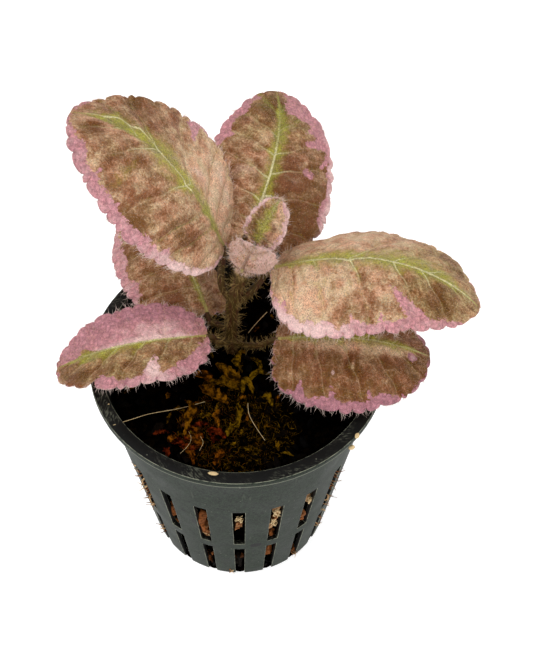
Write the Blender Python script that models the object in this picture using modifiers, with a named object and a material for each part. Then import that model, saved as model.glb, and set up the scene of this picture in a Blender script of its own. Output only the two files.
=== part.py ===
"""Flame violet with pink-edged leaves, rooted in a slotted net pot.

Lengths are in metres and +Z is up. The origin is the middle of the pot's underside, which rests on
a surface. The plant faces -Y: azimuths are counted from +X towards +Y.
"""

import math
import random
from collections import namedtuple

import bmesh
import bpy
from mathutils import Matrix, Vector, noise

MM = 0.001
GAP = 0.3 * MM  # kept between pieces that touch

# The pot, a 3 inch net pot
POT_HEIGHT = 75 * MM
RIM_RADIUS = 40 * MM
COLLAR_HEIGHT = 2 * MM
BODY_TOP_RADIUS = 37.7 * MM
BODY_BASE_RADIUS = 26.5 * MM
WALL = 1.4 * MM
FLOOR = 1.6 * MM
BASE_CORNER = 2.0 * MM
RIM_CHAMFER = 0.4 * MM
COLUMNS = 20
STEPS_AROUND = 4 * COLUMNS
FIRST_COLUMN = math.radians(1.33)  # past -Y, towards +X
UPPER_SLOT = (25.5 * MM, 50.0 * MM)
LOWER_SLOT = (-2.0 * MM, 21.4 * MM)  # runs out through the base corner
UPPER_SLOT_HALF_WIDTHS = (1.55 * MM, 1.8 * MM)  # at its low and its high end
LOWER_SLOT_HALF_WIDTHS = (1.3 * MM, 1.55 * MM)
LOWER_SLOT_INNER_RADIUS = 18 * MM
DRAIN_HOLES = 6
DRAIN_HOLE_RADIUS = 2.0 * MM
DRAIN_CIRCLE = 11.5 * MM

# The growing medium
MEDIUM_TOP = 67 * MM
MEDIUM_STEPS = 48
LUMP = 1.1 * MM
SIDE_DENT = 0.5 * MM  # how unevenly the side of the plug stands back from the wall
BARK_CHIPS = 30
BARK_SPREAD = 33 * MM
CLEAR_OF_STEM = 6.5 * MM
MOSS_SPRIGS = 15
MOSS_TUFT = Vector((0.5, -8.5, 0)) * MM
MOSS_ROOT = 2 * MM
STEM_HOLE_CLEARANCE = 2 * GAP

# The stem and where it leaves the medium
STEM_FOOT = Vector((-1.9, 7.8, 60.5)) * MM
STEM_PATH = [
    (STEM_FOOT, 1.75 * MM),
    (Vector((-1.9, 7.8, 67)) * MM, 1.75 * MM),
    (Vector((-2.1, 8.1, 73)) * MM, 1.7 * MM),
    (Vector((-1.9, 8.3, 80)) * MM, 1.65 * MM),
    (Vector((-1.4, 8.5, 88)) * MM, 1.9 * MM),
    (Vector((-0.2, 8.7, 93)) * MM, 1.7 * MM),
    (Vector((1.0, 8.5, 98)) * MM, 1.7 * MM),
    (Vector((1.5, 8.3, 101.5)) * MM, 0.8 * MM),
]

# The leaves. A blade is 0.8 mm thick, and its midrib is twice that on the underside.
BLADE = 0.8 * MM
KEEL = 1.6 * MM
SIDE_VEINS = 6
QUILTING = 0.55 * MM
MARGIN_WAVE = 0.5 * MM
TOOTH = 0.9 * MM

# base is where the petiole meets the blade; rise, droop, sweep and roll turn the midrib, in
# degrees; the pairs hold the left and the right half, looking from the base to the tip: width,
# the fold at the midrib, the curl from there to the margin, and the taper towards the tip.
Leaf = namedtuple(
    "Leaf",
    "name base azimuth rise droop sweep roll length width fold curl taper lobe fullness teeth"
    " petiole petiole_radius",
)

LEAVES = [
    Leaf(
        "leaf_upper_left", (-3.7, 13.6, 104), 151, 72, 73, 20, 14, 57, (24, 21.5), (0, -8),
        (-58, 14), (0.14, -0.1), 0.06, 0.92, 14,
        [(-1.4, 8.5, 88), (-3.9, 9.2, 92), (-4.5, 10.2, 97)], 1.15,
    ),
    Leaf(
        "leaf_back", (1.8, 22.7, 98), 59, 33, 49, 41, 7, 48.7, (19, 19.8), (-3, -13),
        (-27, -29), (-0.08, -0.14), 0.06, 0.85, 13,
        [(-2.0, 8.2, 79), (-0.9, 12.5, 83), (0.4, 18.0, 91)], 1.05,
    ),
    Leaf(
        "leaf_upper_right", (9.1, 10.4, 100), -10, 33, 82, -8, -5, 59.4, (21, 21.5), (-13, -7),
        (-25, -42), (0.05, -0.2), 0.05, 0.88, 14,
        [(-1.4, 8.5, 88), (1.6, 8.2, 90), (5.0, 8.4, 95)], 1.1,
    ),
    Leaf(
        "leaf_lower_right", (10.2, 0.9, 82), -8, 18, 54, 6, -2, 42.8, (18, 21), (-5, -3),
        (-26, -31), (0, 0), 0.08, 0.86, 12,
        [(-2.1, 8.0, 71), (1.6, 5.2, 73), (5.6, 2.4, 76.5)], 0.95,
    ),
    Leaf(
        "leaf_lower_left", (-8.0, -0.7, 85), 190, 7, 47, -4, 1, 42.4, (14.8, 12), (9, 0),
        (-7, 4), (-0.06, 0), 0.03, 0.9, 12,
        [(-2.1, 8.0, 71), (-4.4, 4.0, 75.5), (-6.3, 1.2, 80.5)], 0.95,
    ),
    Leaf(
        "leaf_behind_left", (-8.5, 8.6, 82.5), 107, 22, 57, 42, 2, 44.4, (18.2, 15.8), (-10, -30),
        (-24, -38), (0, 0), 0.04, 0.86, 12,
        [(-2.1, 8.1, 75), (-5.0, 9.2, 76.2), (-7.8, 8.9, 78.8)], 0.9,
    ),
]

YOUNG_LEAVES = [
    Leaf(
        "young_leaf_front", (1.2, 5.9, 104), -54, 72, 5, 5, -40, 15.2, (7.4, 5.5), (-11, 23),
        (24, 34), (0, 0), 0.02, 0.8, 6,
        [(1.0, 8.5, 98.5), (1.1, 6.4, 101.2)], 0.65,
    ),
    Leaf(
        "young_leaf_back", (4.5, 12.0, 107.5), 40, 59, 13, 0, 9, 13.6, (4.7, 6.7), (17, 6),
        (19, 6), (-0.13, 0), 0.02, 0.8, 6,
        [(1.3, 8.4, 99.0), (2.8, 10.2, 103)], 0.7,
    ),
]


def new_material(name, colour, roughness):
    material = bpy.data.materials.new(name)
    material.use_nodes = True
    shader = material.node_tree.nodes["Principled BSDF"]
    shader.inputs["Base Color"].default_value = (*colour, 1)
    shader.inputs["Roughness"].default_value = roughness
    shader.inputs["Metallic"].default_value = 0
    return material


def new_object(name, mesh, collection):
    obj = bpy.data.objects.new(name, mesh)
    collection.objects.link(obj)
    return obj


def new_cutter(name, mesh, collection):
    obj = new_object(name, mesh, collection)
    obj.hide_render = True
    obj.display_type = "WIRE"
    return obj


def evaluated_mesh(obj):
    depsgraph = bpy.context.evaluated_depsgraph_get()
    return bpy.data.meshes.new_from_object(obj.evaluated_get(depsgraph), depsgraph=depsgraph)


def bake(obj):
    """Applies the object's modifiers."""
    mesh = evaluated_mesh(obj)
    obj.modifiers.clear()
    obj.data = mesh


def drop_scraps(mesh):
    """Keeps the largest body of a mesh that a Boolean left in several."""
    bm = bmesh.new()
    bm.from_mesh(mesh)
    left = set(bm.verts)
    bodies = []
    while left:
        body = set()
        reached = [left.pop()]
        while reached:
            vert = reached.pop()
            body.add(vert)
            for edge in vert.link_edges:
                other = edge.other_vert(vert)
                if other in left:
                    left.remove(other)
                    reached.append(other)
        bodies.append(body)
    bodies.sort(key=len)
    for body in bodies[:-1]:
        bmesh.ops.delete(bm, geom=list(body), context="VERTS")
    bmesh.ops.triangulate(bm, faces=bm.faces, ngon_method="EAR_CLIP")
    bm.to_mesh(mesh)
    bm.free()


def add_boolean(obj, operation, other, solver="EXACT"):
    boolean = obj.modifiers.new(operation.lower(), "BOOLEAN")
    boolean.operation = operation
    boolean.solver = solver
    if isinstance(other, bpy.types.Collection):
        boolean.operand_type = "COLLECTION"
        boolean.collection = other
    else:
        boolean.object = other


def smooth(mesh, sharp_angle=40):
    mesh.shade_smooth()
    mesh.set_sharp_from_angle(angle=math.radians(sharp_angle))


def turned(name, profile, steps, collection):
    """Turns a profile of (radius, height) pairs, inside first and down the outside, round Z."""
    mesh = bpy.data.meshes.new(name)
    points = [(radius, 0, height) for radius, height in profile]
    mesh.from_pydata(points, [(i, i + 1) for i in range(len(points) - 1)], [])
    obj = new_object(name, mesh, collection)
    screw = obj.modifiers.new("turn", "SCREW")
    screw.axis = "Z"
    screw.steps = steps
    screw.render_steps = steps
    screw.use_merge_vertices = True
    screw.merge_threshold = 0.00001
    bake(obj)
    return obj


def tube(name, path, sides_resolution, collection):
    """A closed mesh tube along (point, radius) pairs."""
    curve = bpy.data.curves.new(name, "CURVE")
    curve.dimensions = "3D"
    curve.bevel_depth = 1 * MM
    curve.bevel_resolution = sides_resolution
    curve.use_fill_caps = True
    spline = curve.splines.new("POLY")
    spline.points.add(len(path) - 1)
    for point, (place, radius) in zip(spline.points, path):
        point.co = (*place, 1)
        point.radius = radius / (1 * MM)
    guide = new_object(name, curve, collection)
    mesh = evaluated_mesh(guide)
    bpy.data.objects.remove(guide)
    bm = bmesh.new()
    bm.from_mesh(mesh)
    bmesh.ops.remove_doubles(bm, verts=bm.verts, dist=0.00001)
    bm.to_mesh(mesh)
    bm.free()
    return new_object(name, mesh, collection)


def smooth_path(points, pieces):
    """Points of a smooth curve through (place, radius) pairs, with pieces steps between them."""
    path = []
    last = len(points) - 1
    for i in range(last):
        (a, ra), (b, rb) = points[i], points[i + 1]
        before = points[max(i - 1, 0)][0]
        after = points[min(i + 2, last)][0]
        for step in range(pieces):
            t = step / pieces
            start = (b - before) / 2
            end = (after - a) / 2
            place = (
                a * (2 * t**3 - 3 * t**2 + 1)
                + start * (t**3 - 2 * t**2 + t)
                + b * (3 * t**2 - 2 * t**3)
                + end * (t**3 - t**2)
            )
            path.append((place, ra + (rb - ra) * t))
    path.append(points[last])
    return path


def wall_radius(height):
    """The pot's outer radius at a height."""
    share = height / (POT_HEIGHT - COLLAR_HEIGHT)
    return BODY_BASE_RADIUS + (BODY_TOP_RADIUS - BODY_BASE_RADIUS) * share


def slot_cutter(bm, angle, heights, half_widths, inner):
    """A tapered block, wider at the top, that cuts one slot from the inner radius outwards."""
    block = bmesh.ops.create_cube(bm, size=1)["verts"]
    for vert in block:
        end = 1 if vert.co.z > 0 else 0
        vert.co.x = math.copysign(half_widths[end], vert.co.x)
        vert.co.y = -RIM_RADIUS if vert.co.y < 0 else -inner
        vert.co.z = heights[end]
    bmesh.ops.rotate(bm, verts=block, matrix=Matrix.Rotation(angle, 3, "Z"))


def make_pot(parts, cutters):
    corner = []
    for turn in (90, 60, 30, 0):
        inward = BASE_CORNER * (1 - math.sin(math.radians(turn)))
        up = BASE_CORNER * (1 - math.cos(math.radians(turn)))
        corner.append((BODY_BASE_RADIUS - inward, up))
    under_collar = POT_HEIGHT - COLLAR_HEIGHT
    mouth = wall_radius(POT_HEIGHT) - WALL
    profile = [
        (0, FLOOR),
        (wall_radius(FLOOR) - WALL, FLOOR),
        (mouth, POT_HEIGHT - RIM_CHAMFER),
        (mouth + RIM_CHAMFER, POT_HEIGHT),
        (RIM_RADIUS - RIM_CHAMFER, POT_HEIGHT),
        (RIM_RADIUS, POT_HEIGHT - RIM_CHAMFER),
        (RIM_RADIUS, under_collar),
        (BODY_TOP_RADIUS, under_collar),
        *corner,
        (0, 0),
    ]
    pot = turned("net_pot", profile, STEPS_AROUND, parts)
    pot.data.materials.append(new_material("pot_plastic", (0.075, 0.095, 0.088), 0.42))
    bm = bmesh.new()
    for column in range(COLUMNS):
        angle = FIRST_COLUMN + 2 * math.pi * column / COLUMNS
        inner = BODY_BASE_RADIUS - 2 * WALL
        slot_cutter(bm, angle, UPPER_SLOT, UPPER_SLOT_HALF_WIDTHS, inner)
        slot_cutter(bm, angle, LOWER_SLOT, LOWER_SLOT_HALF_WIDTHS, LOWER_SLOT_INNER_RADIUS)
    for hole in range(DRAIN_HOLES):
        turn = Matrix.Rotation(2 * math.pi * hole / DRAIN_HOLES, 4, "Z")
        bmesh.ops.create_cone(
            bm, cap_ends=True, segments=12, radius1=DRAIN_HOLE_RADIUS, radius2=DRAIN_HOLE_RADIUS,
            depth=4 * FLOOR, matrix=turn @ Matrix.Translation((DRAIN_CIRCLE, 0, 0)),
        )
    mesh = bpy.data.meshes.new("slot_cutters")
    bm.to_mesh(mesh)
    bm.free()
    add_boolean(pot, "DIFFERENCE", new_cutter("slot_cutters", mesh, cutters))
    bake(pot)
    smooth(pot.data, 30)


def lumps(point, size, seed):
    """Smooth noise from -1 to 1 with the given lump size."""
    return noise.noise(point / size + Vector((seed, 2.3 * seed, -seed)))


def medium_height(x, y):
    """The height of the medium's lumpy top."""
    place = Vector((x, y, 0))
    return MEDIUM_TOP + LUMP * (lumps(place, 9 * MM, 3) + 0.6 * lumps(place, 4 * MM, 8))


def bark_chip(bm, rng):
    """One weathered chip of bark, half sunk in the medium's top."""
    spread = BARK_SPREAD * math.sqrt(rng.uniform(0.0, 1.0))
    turn = rng.uniform(0, 2 * math.pi)
    place = Vector((spread * math.cos(turn), spread * math.sin(turn), 0))
    if (place.xy - STEM_FOOT.xy).length < CLEAR_OF_STEM:
        return
    place.z = medium_height(place.x, place.y)
    size = Vector((rng.uniform(2.5, 6.0), rng.uniform(1.6, 3.0), rng.uniform(1.4, 2.4))) * MM
    chip = bmesh.ops.create_cube(bm, size=1)["verts"]
    for vert in chip:
        squeeze = rng.uniform(0.65, 1.0)
        vert.co = Vector(a * b * squeeze for a, b in zip(vert.co, size))
    tilt = Matrix.Rotation(rng.uniform(-0.5, 0.5), 3, "Y") @ Matrix.Rotation(turn * 3, 3, "Z")
    bmesh.ops.rotate(bm, verts=chip, matrix=Matrix.Rotation(turn * 5, 3, "Z") @ tilt)
    bmesh.ops.translate(bm, verts=chip, vec=place)


def moss_sprig(number, rng, collection):
    """One curled moss sprig in the tuft in front of the stem."""
    turn = 2 * math.pi * number / MOSS_SPRIGS + rng.uniform(-0.2, 0.2)
    outward = Vector((math.cos(turn), math.sin(turn), 0))
    foot = MOSS_TUFT + outward * rng.uniform(1.0, 5.0) * MM
    foot.z = medium_height(foot.x, foot.y) - MOSS_ROOT
    reach = rng.uniform(3.0, 6.0) * MM
    side = outward.cross(Vector((0, 0, 1))) * rng.uniform(-2, 2) * MM
    points = [
        (foot, 0.8 * MM),
        (foot + outward * reach * 0.3 + Vector((0, 0, 3.6 * MM)), 1.1 * MM),
        (foot + outward * reach + side * 0.4 + Vector((0, 0, 4.6 * MM)), 1.0 * MM),
        (foot + outward * reach * 1.5 + side + Vector((0, 0, 3.2 * MM)), 0.25 * MM),
    ]
    return tube(f"moss_sprig_{number}", smooth_path(points, 2), 0, collection)


def make_medium(parts, cutters):
    low = FLOOR + GAP
    heights = [low + (MEDIUM_TOP - low) * i / 5 for i in range(6)]
    side = [(wall_radius(height) - WALL - GAP, height) for height in heights]
    rim = side[-1][0]
    just = 0.1 * MM
    top = [(rim * share, MEDIUM_TOP) for share in (0, 0.16, 0.32, 0.48, 0.64, 0.8, 0.92)]
    medium = turned("growing_medium", top + side[::-1] + [(0, low)], MEDIUM_STEPS, parts)
    for vert in medium.data.vertices:
        x, y, z = vert.co
        if z > MEDIUM_TOP - just:
            vert.co.z = medium_height(x, y)
        elif z > low + just:
            dent = SIDE_DENT * (1 + lumps(vert.co, 7 * MM, 5))
            share = 1 - dent / math.hypot(x, y)
            vert.co.x, vert.co.y = x * share, y * share
    medium.data.materials.append(new_material("dark_mix", (0.022, 0.016, 0.012), 0.9))

    bits = bpy.data.collections.new("bits_of_the_medium")
    parts.children.link(bits)
    rng = random.Random(7)
    for number in range(BARK_CHIPS):
        bm = bmesh.new()
        bark_chip(bm, rng)
        if bm.verts:
            bmesh.ops.triangulate(bm, faces=bm.faces)
            mesh = bpy.data.meshes.new("bark_chip")
            bm.to_mesh(mesh)
            new_object(f"bark_chip_{number}", mesh, bits)
        bm.free()
    for number in range(MOSS_SPRIGS):
        moss_sprig(number, rng, bits)
    add_boolean(medium, "UNION", bits, "MANIFOLD")
    bake(medium)
    for bit in list(bits.objects):
        bpy.data.objects.remove(bit)
    bpy.data.collections.remove(bits)

    bm = bmesh.new()
    hole_top = MEDIUM_TOP + 8 * MM
    hole_low = STEM_FOOT.z - GAP
    radius = STEM_PATH[0][1] + STEM_HOLE_CLEARANCE
    bmesh.ops.create_cone(
        bm, cap_ends=True, segments=12, radius1=radius, radius2=radius, depth=hole_top - hole_low,
        matrix=Matrix.Translation((STEM_FOOT.x, STEM_FOOT.y, (hole_top + hole_low) / 2)),
    )
    mesh = bpy.data.meshes.new("stem_hole_cutter")
    bm.to_mesh(mesh)
    bm.free()
    add_boolean(medium, "DIFFERENCE", new_cutter("stem_hole_cutter", mesh, cutters), "MANIFOLD")
    bake(medium)
    drop_scraps(medium.data)
    smooth(medium.data, 35)


def make_stem(parts, cutters):
    """Makes the stem, and the cutter that ends each petiole a gap away from it."""
    path = smooth_path(STEM_PATH, 3)
    stem = tube("stem", path, 2, parts)
    stem.data.materials.append(new_material("stem_green", (0.16, 0.15, 0.05), 0.6))
    smooth(stem.data, 60)
    clearance = [(place, radius + GAP) for place, radius in path]
    crown, radius = clearance[-1]
    clearance.append((crown + Vector((0, 0, GAP)), radius))
    cutter = tube("stem_clearance", clearance, 2, cutters)
    cutter.hide_render = True
    cutter.display_type = "WIRE"
    return cutter


class Blade:
    """The surface of one leaf: a midrib that rises and droops, and two halves that fold and curl."""

    STEPS = 120  # along the midrib
    WIDEST_BACK = 0.07  # how far the widest place lies behind the middle
    LOBE_AT = 0.55  # where along the outline's turn the basal lobe swells, and how broadly
    LOBE_BREADTH = 0.45
    OUTLINE_SAMPLES = 400
    EDGE_STEPS = 200
    VEIN_SLANT = 1.15  # above 1, side veins slant forwards more towards the tip
    MIDDLE = 0.45  # the teeth point away from here

    def __init__(self, leaf):
        self.leaf = leaf
        self.places = [Vector(leaf.base) * MM]
        for step in range(self.STEPS):
            tangent = self.frame((step + 0.5) / self.STEPS)[0]
            self.places.append(self.places[-1] + tangent * leaf.length * MM / self.STEPS)
        self.edges = {side: self.even_edge(side) for side in (0, 1)}

    def frame(self, along):
        """The midrib's direction, the way to the left margin and the upper face's normal."""
        leaf = self.leaf
        share = min(max(along, 0), 1)
        azimuth = math.radians(leaf.azimuth + leaf.sweep * share)
        pitch = math.radians(leaf.rise - leaf.droop * share**1.5)
        tangent = Vector(
            (math.cos(pitch) * math.cos(azimuth), math.cos(pitch) * math.sin(azimuth), math.sin(pitch))
        )
        left = Vector((-math.sin(azimuth), math.cos(azimuth), 0))
        turn = Matrix.Rotation(math.radians(leaf.roll), 3, tangent)
        return tangent, turn @ left, turn @ tangent.cross(left)

    def midrib(self, along):
        if along < 0:
            return self.places[0] + self.frame(0)[0] * along * self.leaf.length * MM
        step = min(along, 1) * self.STEPS
        low = min(int(step), self.STEPS - 1)
        return self.places[low].lerp(self.places[low + 1], step - low)

    def outline(self, turn, side):
        """One half's plain outline for turn from 0 at the base to pi at the tip, as shares of the
        length and of the half width."""
        leaf = self.leaf
        along = 0.5 - 0.5 * math.cos(turn)
        out = max(math.sin(turn), 0) ** leaf.fullness * (1 + leaf.taper[side] * (2 * along - 1))
        along -= self.WIDEST_BACK * math.sin(turn) ** 2
        swell = math.exp(-(((turn - self.LOBE_AT) / self.LOBE_BREADTH) ** 2))
        along -= leaf.lobe * swell * math.sin(turn)
        return along, out

    def even_edge(self, side):
        """Turns that are evenly spaced along the margin, as a list from base to tip."""
        leaf = self.leaf
        samples = self.OUTLINE_SAMPLES
        turns = [math.pi * i / samples for i in range(samples + 1)]
        lengths = [0.0]
        for a, b in zip(turns, turns[1:]):
            along_a, out_a = self.outline(a, side)
            along_b, out_b = self.outline(b, side)
            step = math.hypot((along_b - along_a) * leaf.length, (out_b - out_a) * leaf.width[side])
            lengths.append(lengths[-1] + step)
        even = []
        i = 0
        for k in range(self.EDGE_STEPS + 1):
            goal = lengths[-1] * k / self.EDGE_STEPS
            while i < samples - 1 and lengths[i + 1] < goal:
                i += 1
            share = (goal - lengths[i]) / (lengths[i + 1] - lengths[i])
            even.append(turns[i] + (turns[i + 1] - turns[i]) * min(share, 1))
        return even

    def surface(self, along, out, side, lift=0.0):
        """The point at a share of the length and of the half width, lifted off the upper face."""
        leaf = self.leaf
        _, left, normal = self.frame(along)
        width = leaf.width[side] * MM
        fold = math.radians(leaf.fold[side])
        curl = math.radians(leaf.curl[side]) or 1e-6
        across = (math.sin(fold + curl * out) - math.sin(fold)) / curl * width
        up = (math.cos(fold) - math.cos(fold + curl * out)) / curl * width
        slope = fold + curl * out
        outward = left if side == 0 else -left
        across -= lift * math.sin(slope)
        up += lift * math.cos(slope)
        return self.midrib(along) + outward * across + normal * up

    def point(self, side, row, v, tooth=0.0, lift=0.0):
        """The point on the row that runs from the midrib (v 0) to the margin (v 1). A row is a
        share of the margin's length, and a tooth stands out from the margin by that much."""
        turns = self.edges[side]
        step = row * self.EDGE_STEPS
        low = min(int(step), self.EDGE_STEPS - 1)
        turn = turns[low] + (turns[low + 1] - turns[low]) * (step - low)
        edge_along, edge_out = self.outline(turn, side)
        rib_along = row**self.VEIN_SLANT
        leaf = self.leaf
        out_x = (edge_along - self.MIDDLE) * leaf.length
        out_y = edge_out * leaf.width[side]
        size = math.hypot(out_x, out_y) or 1
        edge_along += tooth * out_x / size / (leaf.length * MM)
        edge_out += tooth * out_y / size / (leaf.width[side] * MM)
        along = rib_along + (edge_along - rib_along) * v
        return self.surface(along, edge_out * v, side, lift)


def tooth_height(row, teeth):
    """How far the margin stands out, as a share of a tooth: 0 in a notch, 1 on the round lobe."""
    share = row * teeth % 1
    return 1.0 if 0.1 < share < 0.9 else 0.0


def relief(row, v, side):
    """The quilted swell between side veins and the wave of the margin, flatter near the tip."""
    swell = abs(math.sin(math.pi * SIDE_VEINS * row)) - 0.5
    wave = math.sin(math.pi * SIDE_VEINS * row + side)
    height = QUILTING * swell * 4 * v * (1 - v) + MARGIN_WAVE * wave * v**3
    return height * min(1, 4 * (1 - row))


def thickness_share(along, size):
    """The midrib's thickness as a share of KEEL, which falls to the blade's own at the tip."""
    blade = size.blade / KEEL
    return blade + (1 - blade) * (1 - min(along, 1)) ** 0.7


# How finely a blade is built: rows to a tooth, the places of its columns from the midrib to the
# margin, how large its relief is, its thickness, and how deep its petiole lies under the blade.
Size = namedtuple("Size", "rows columns relief blade under petiole_steps")
GROWN = Size(3, (0.3, 0.6, 0.85, 1), 1.0, BLADE, 0.7 * MM, 3)
YOUNG = Size(2, (0.45, 1), 0.4, 0.8 * BLADE, 0.3 * MM, 3)


def blade_grid(leaf, blade, size):
    """The points of the blade's upper face: the foot, the tip and the rows between, each from the
    left margin over the midrib to the right margin, with the thickness at each point."""
    rows = leaf.teeth * size.rows
    grid = []
    for r in range(1, rows):
        row = r / rows
        rib = (blade.point(0, row, 0), thickness_share(row**blade.VEIN_SLANT, size))
        halves = []
        for side in (0, 1):
            half = []
            for v in size.columns:
                tooth = TOOTH * (tooth_height(row, leaf.teeth) - 0.5) if v == 1 else 0
                point = blade.point(
                    side, row, v, tooth * size.relief, relief(row, v, side) * size.relief
                )
                half.append((point, size.blade / KEEL))
            halves.append(half)
        grid.append(halves[0][::-1] + [rib] + halves[1])
    foot = (blade.surface(0, 0, 0), 1.0)
    tip = (blade.surface(1, 0, 0), size.blade / KEEL)
    return foot, grid, tip


def blade_object(leaf, blade, size, collection):
    """The blade as a closed solid, with both faces split into triangles alike."""
    foot, grid, tip = blade_grid(leaf, blade, size)
    bm = bmesh.new()
    thickness = []

    def vertex(entry):
        thickness.append(entry[1])
        return bm.verts.new(entry[0])

    foot = vertex(foot)
    tip = vertex(tip)
    grid = [[vertex(entry) for entry in line] for line in grid]
    for a, b in zip(grid, grid[1:]):
        for k in range(len(a) - 1):
            if k < len(a) // 2:
                bm.faces.new((a[k], b[k], a[k + 1]))
                bm.faces.new((a[k + 1], b[k], b[k + 1]))
            else:
                bm.faces.new((a[k], b[k + 1], a[k + 1]))
                bm.faces.new((a[k], b[k], b[k + 1]))
    for left, right in zip(grid[0], grid[0][1:]):
        bm.faces.new((foot, left, right))
    for left, right in zip(grid[-1], grid[-1][1:]):
        bm.faces.new((tip, right, left))
    mesh = bpy.data.meshes.new(leaf.name)
    bm.to_mesh(mesh)
    bm.free()
    obj = new_object(leaf.name, mesh, collection)
    group = obj.vertex_groups.new(name="thickness")
    for index, share in enumerate(thickness):
        group.add([index], share, "REPLACE")
    solidify = obj.modifiers.new("thickness", "SOLIDIFY")
    solidify.thickness = KEEL
    solidify.offset = -1
    solidify.vertex_group = group.name
    solidify.thickness_vertex_group = 0
    bake(obj)
    return obj


def make_leaf(leaf, size, material, clearance, parts):
    """A blade and its petiole as one solid that ends a gap away from the stem."""
    blade = Blade(leaf)
    obj = blade_object(leaf, blade, size, parts)
    radius = leaf.petiole_radius * MM
    points = [(Vector(place) * MM, radius) for place in leaf.petiole]
    for along, share in ((-0.03, 0.9), (0.05, 0.75), (0.13, 0.45)):
        points.append((blade.surface(along, 0, 0, -size.under), share * radius))
    petiole = tube("petiole", smooth_path(points, size.petiole_steps), 1, parts)
    add_boolean(obj, "UNION", petiole, "MANIFOLD")
    bake(obj)
    bpy.data.objects.remove(petiole)
    add_boolean(obj, "DIFFERENCE", clearance, "MANIFOLD")
    bake(obj)
    drop_scraps(obj.data)
    obj.data.materials.clear()
    obj.data.materials.append(material)
    smooth(obj.data, 50)


def main():
    for obj in list(bpy.data.objects):
        bpy.data.objects.remove(obj)
    parts = bpy.data.collections.new("flame_violet")
    cutters = bpy.data.collections.new("cutters")
    bpy.context.scene.collection.children.link(parts)
    bpy.context.scene.collection.children.link(cutters)
    make_pot(parts, cutters)
    make_medium(parts, cutters)
    clearance = make_stem(parts, cutters)
    leaf_material = new_material("leaf_brown_pink", (0.36, 0.22, 0.16), 0.6)
    young_material = new_material("leaf_young_pink", (0.50, 0.27, 0.24), 0.65)
    for leaf in LEAVES:
        make_leaf(leaf, GROWN, leaf_material, clearance, parts)
    for leaf in YOUNG_LEAVES:
        make_leaf(leaf, YOUNG, young_material, clearance, parts)


main()
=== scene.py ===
"""Looks of a flame violet in its slotted net pot, built round the packed model.

The file is laid out as an add-on and run as a script. Sizes are in metres, MM turns a length
written in millimetres into one, and Z is up from the pot's flat underside.
"""

import math
import random
from collections import namedtuple
from functools import cache, partial

import bmesh
import bpy
import numpy as np
from bpy.props import FloatProperty, FloatVectorProperty, IntProperty, PointerProperty
from mathutils import Matrix, Vector, noise


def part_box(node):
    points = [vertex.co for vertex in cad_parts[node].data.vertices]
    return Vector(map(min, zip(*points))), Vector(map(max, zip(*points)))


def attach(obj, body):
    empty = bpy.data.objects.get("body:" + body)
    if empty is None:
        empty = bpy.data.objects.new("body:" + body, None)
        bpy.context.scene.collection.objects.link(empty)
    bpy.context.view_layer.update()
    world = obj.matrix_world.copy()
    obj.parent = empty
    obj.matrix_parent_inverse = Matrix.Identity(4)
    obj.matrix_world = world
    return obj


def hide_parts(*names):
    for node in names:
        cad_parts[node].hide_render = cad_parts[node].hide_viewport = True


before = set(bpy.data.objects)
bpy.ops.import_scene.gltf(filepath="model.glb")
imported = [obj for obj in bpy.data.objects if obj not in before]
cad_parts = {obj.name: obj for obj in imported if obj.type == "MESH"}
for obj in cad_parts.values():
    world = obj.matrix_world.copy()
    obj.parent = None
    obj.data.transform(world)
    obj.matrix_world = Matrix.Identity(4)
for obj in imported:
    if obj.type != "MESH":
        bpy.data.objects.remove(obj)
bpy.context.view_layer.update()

bl_info = {
    "name": "Flame violet in a net pot",
    "version": (1, 0, 0),
    "blender": (4, 5, 0),
    "location": "3D View > Sidebar > Flame violet",
    "description": "Builds the leaves, hairs, pot, growing mix and stage of a flame violet",
    "category": "Object",
}

MM = 0.001
BODY = "root"
# What the random draws start from, so that each run gives the same plant
DRAWS = {"bark": 7, "moss": 11, "fibres": 5, "stem": 77, "leaf": 3, "young_leaf": 23}

# The camera stands where the photograph was taken from
CAMERA_PLACE = Vector((7.62, -214.73, 368.24)) * MM
CAMERA_TILT = math.radians(37.2)  # up from looking straight down
CAMERA_ROLL = math.radians(0.76)
CAMERA_LENS = 72.86  # millimetres
SENSOR = 36  # the sensor's size in millimetres, which lies along the picture's height

# The pot, as in the packed model
POT_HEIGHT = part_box("net_pot")[1].z
RIM_RADIUS = 40 * MM
COLLAR_HEIGHT = 2 * MM
BODY_TOP_RADIUS = 37.7 * MM
BODY_BASE_RADIUS = 26.5 * MM
WALL = 1.4 * MM
FLOOR = 1.6 * MM
BASE_CORNER = 0.8 * MM  # crisper than in the packed model, as in the photograph
INNER_CORNER = 0.6 * MM
COLUMNS = 20
LINES = 7  # the upright lines of the pot's grid in each column
BESIDE = 0.45 * MM  # from a slot's edge to the line beside it
SHARPEST = 35  # an edge that turns by more degrees than this isn't shaded smooth
FIRST_COLUMN = math.radians(1.33)  # past -Y, towards +X
UPPER_SLOT = (25.5 * MM, 50.0 * MM)
LOWER_SLOT_TOP = 21.4 * MM
UPPER_HALF_WIDTHS = (1.55 * MM, 1.8 * MM)  # at the slot's low and high end
LOWER_HALF_WIDTHS = (1.3 * MM, 1.55 * MM)
LOWER_SLOT_INNER_RADIUS = 18 * MM
DRAIN_HOLES = 6
DRAIN_HOLE_RADIUS = 2.0 * MM
DRAIN_CIRCLE = 11.5 * MM

# Dark moulding marks on the wall: angle from -Y in radians as the shader sees it, height, half
# width and half height in millimetres
POT_MARKS = (
    (math.pi - 0.18, 23.9, 1.7, 1.5), (-math.pi + 0.374, 38.2, 0.9, 1.3),
    (-math.pi + 0.458, 43.6, 0.9, 0.5),
)

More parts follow.
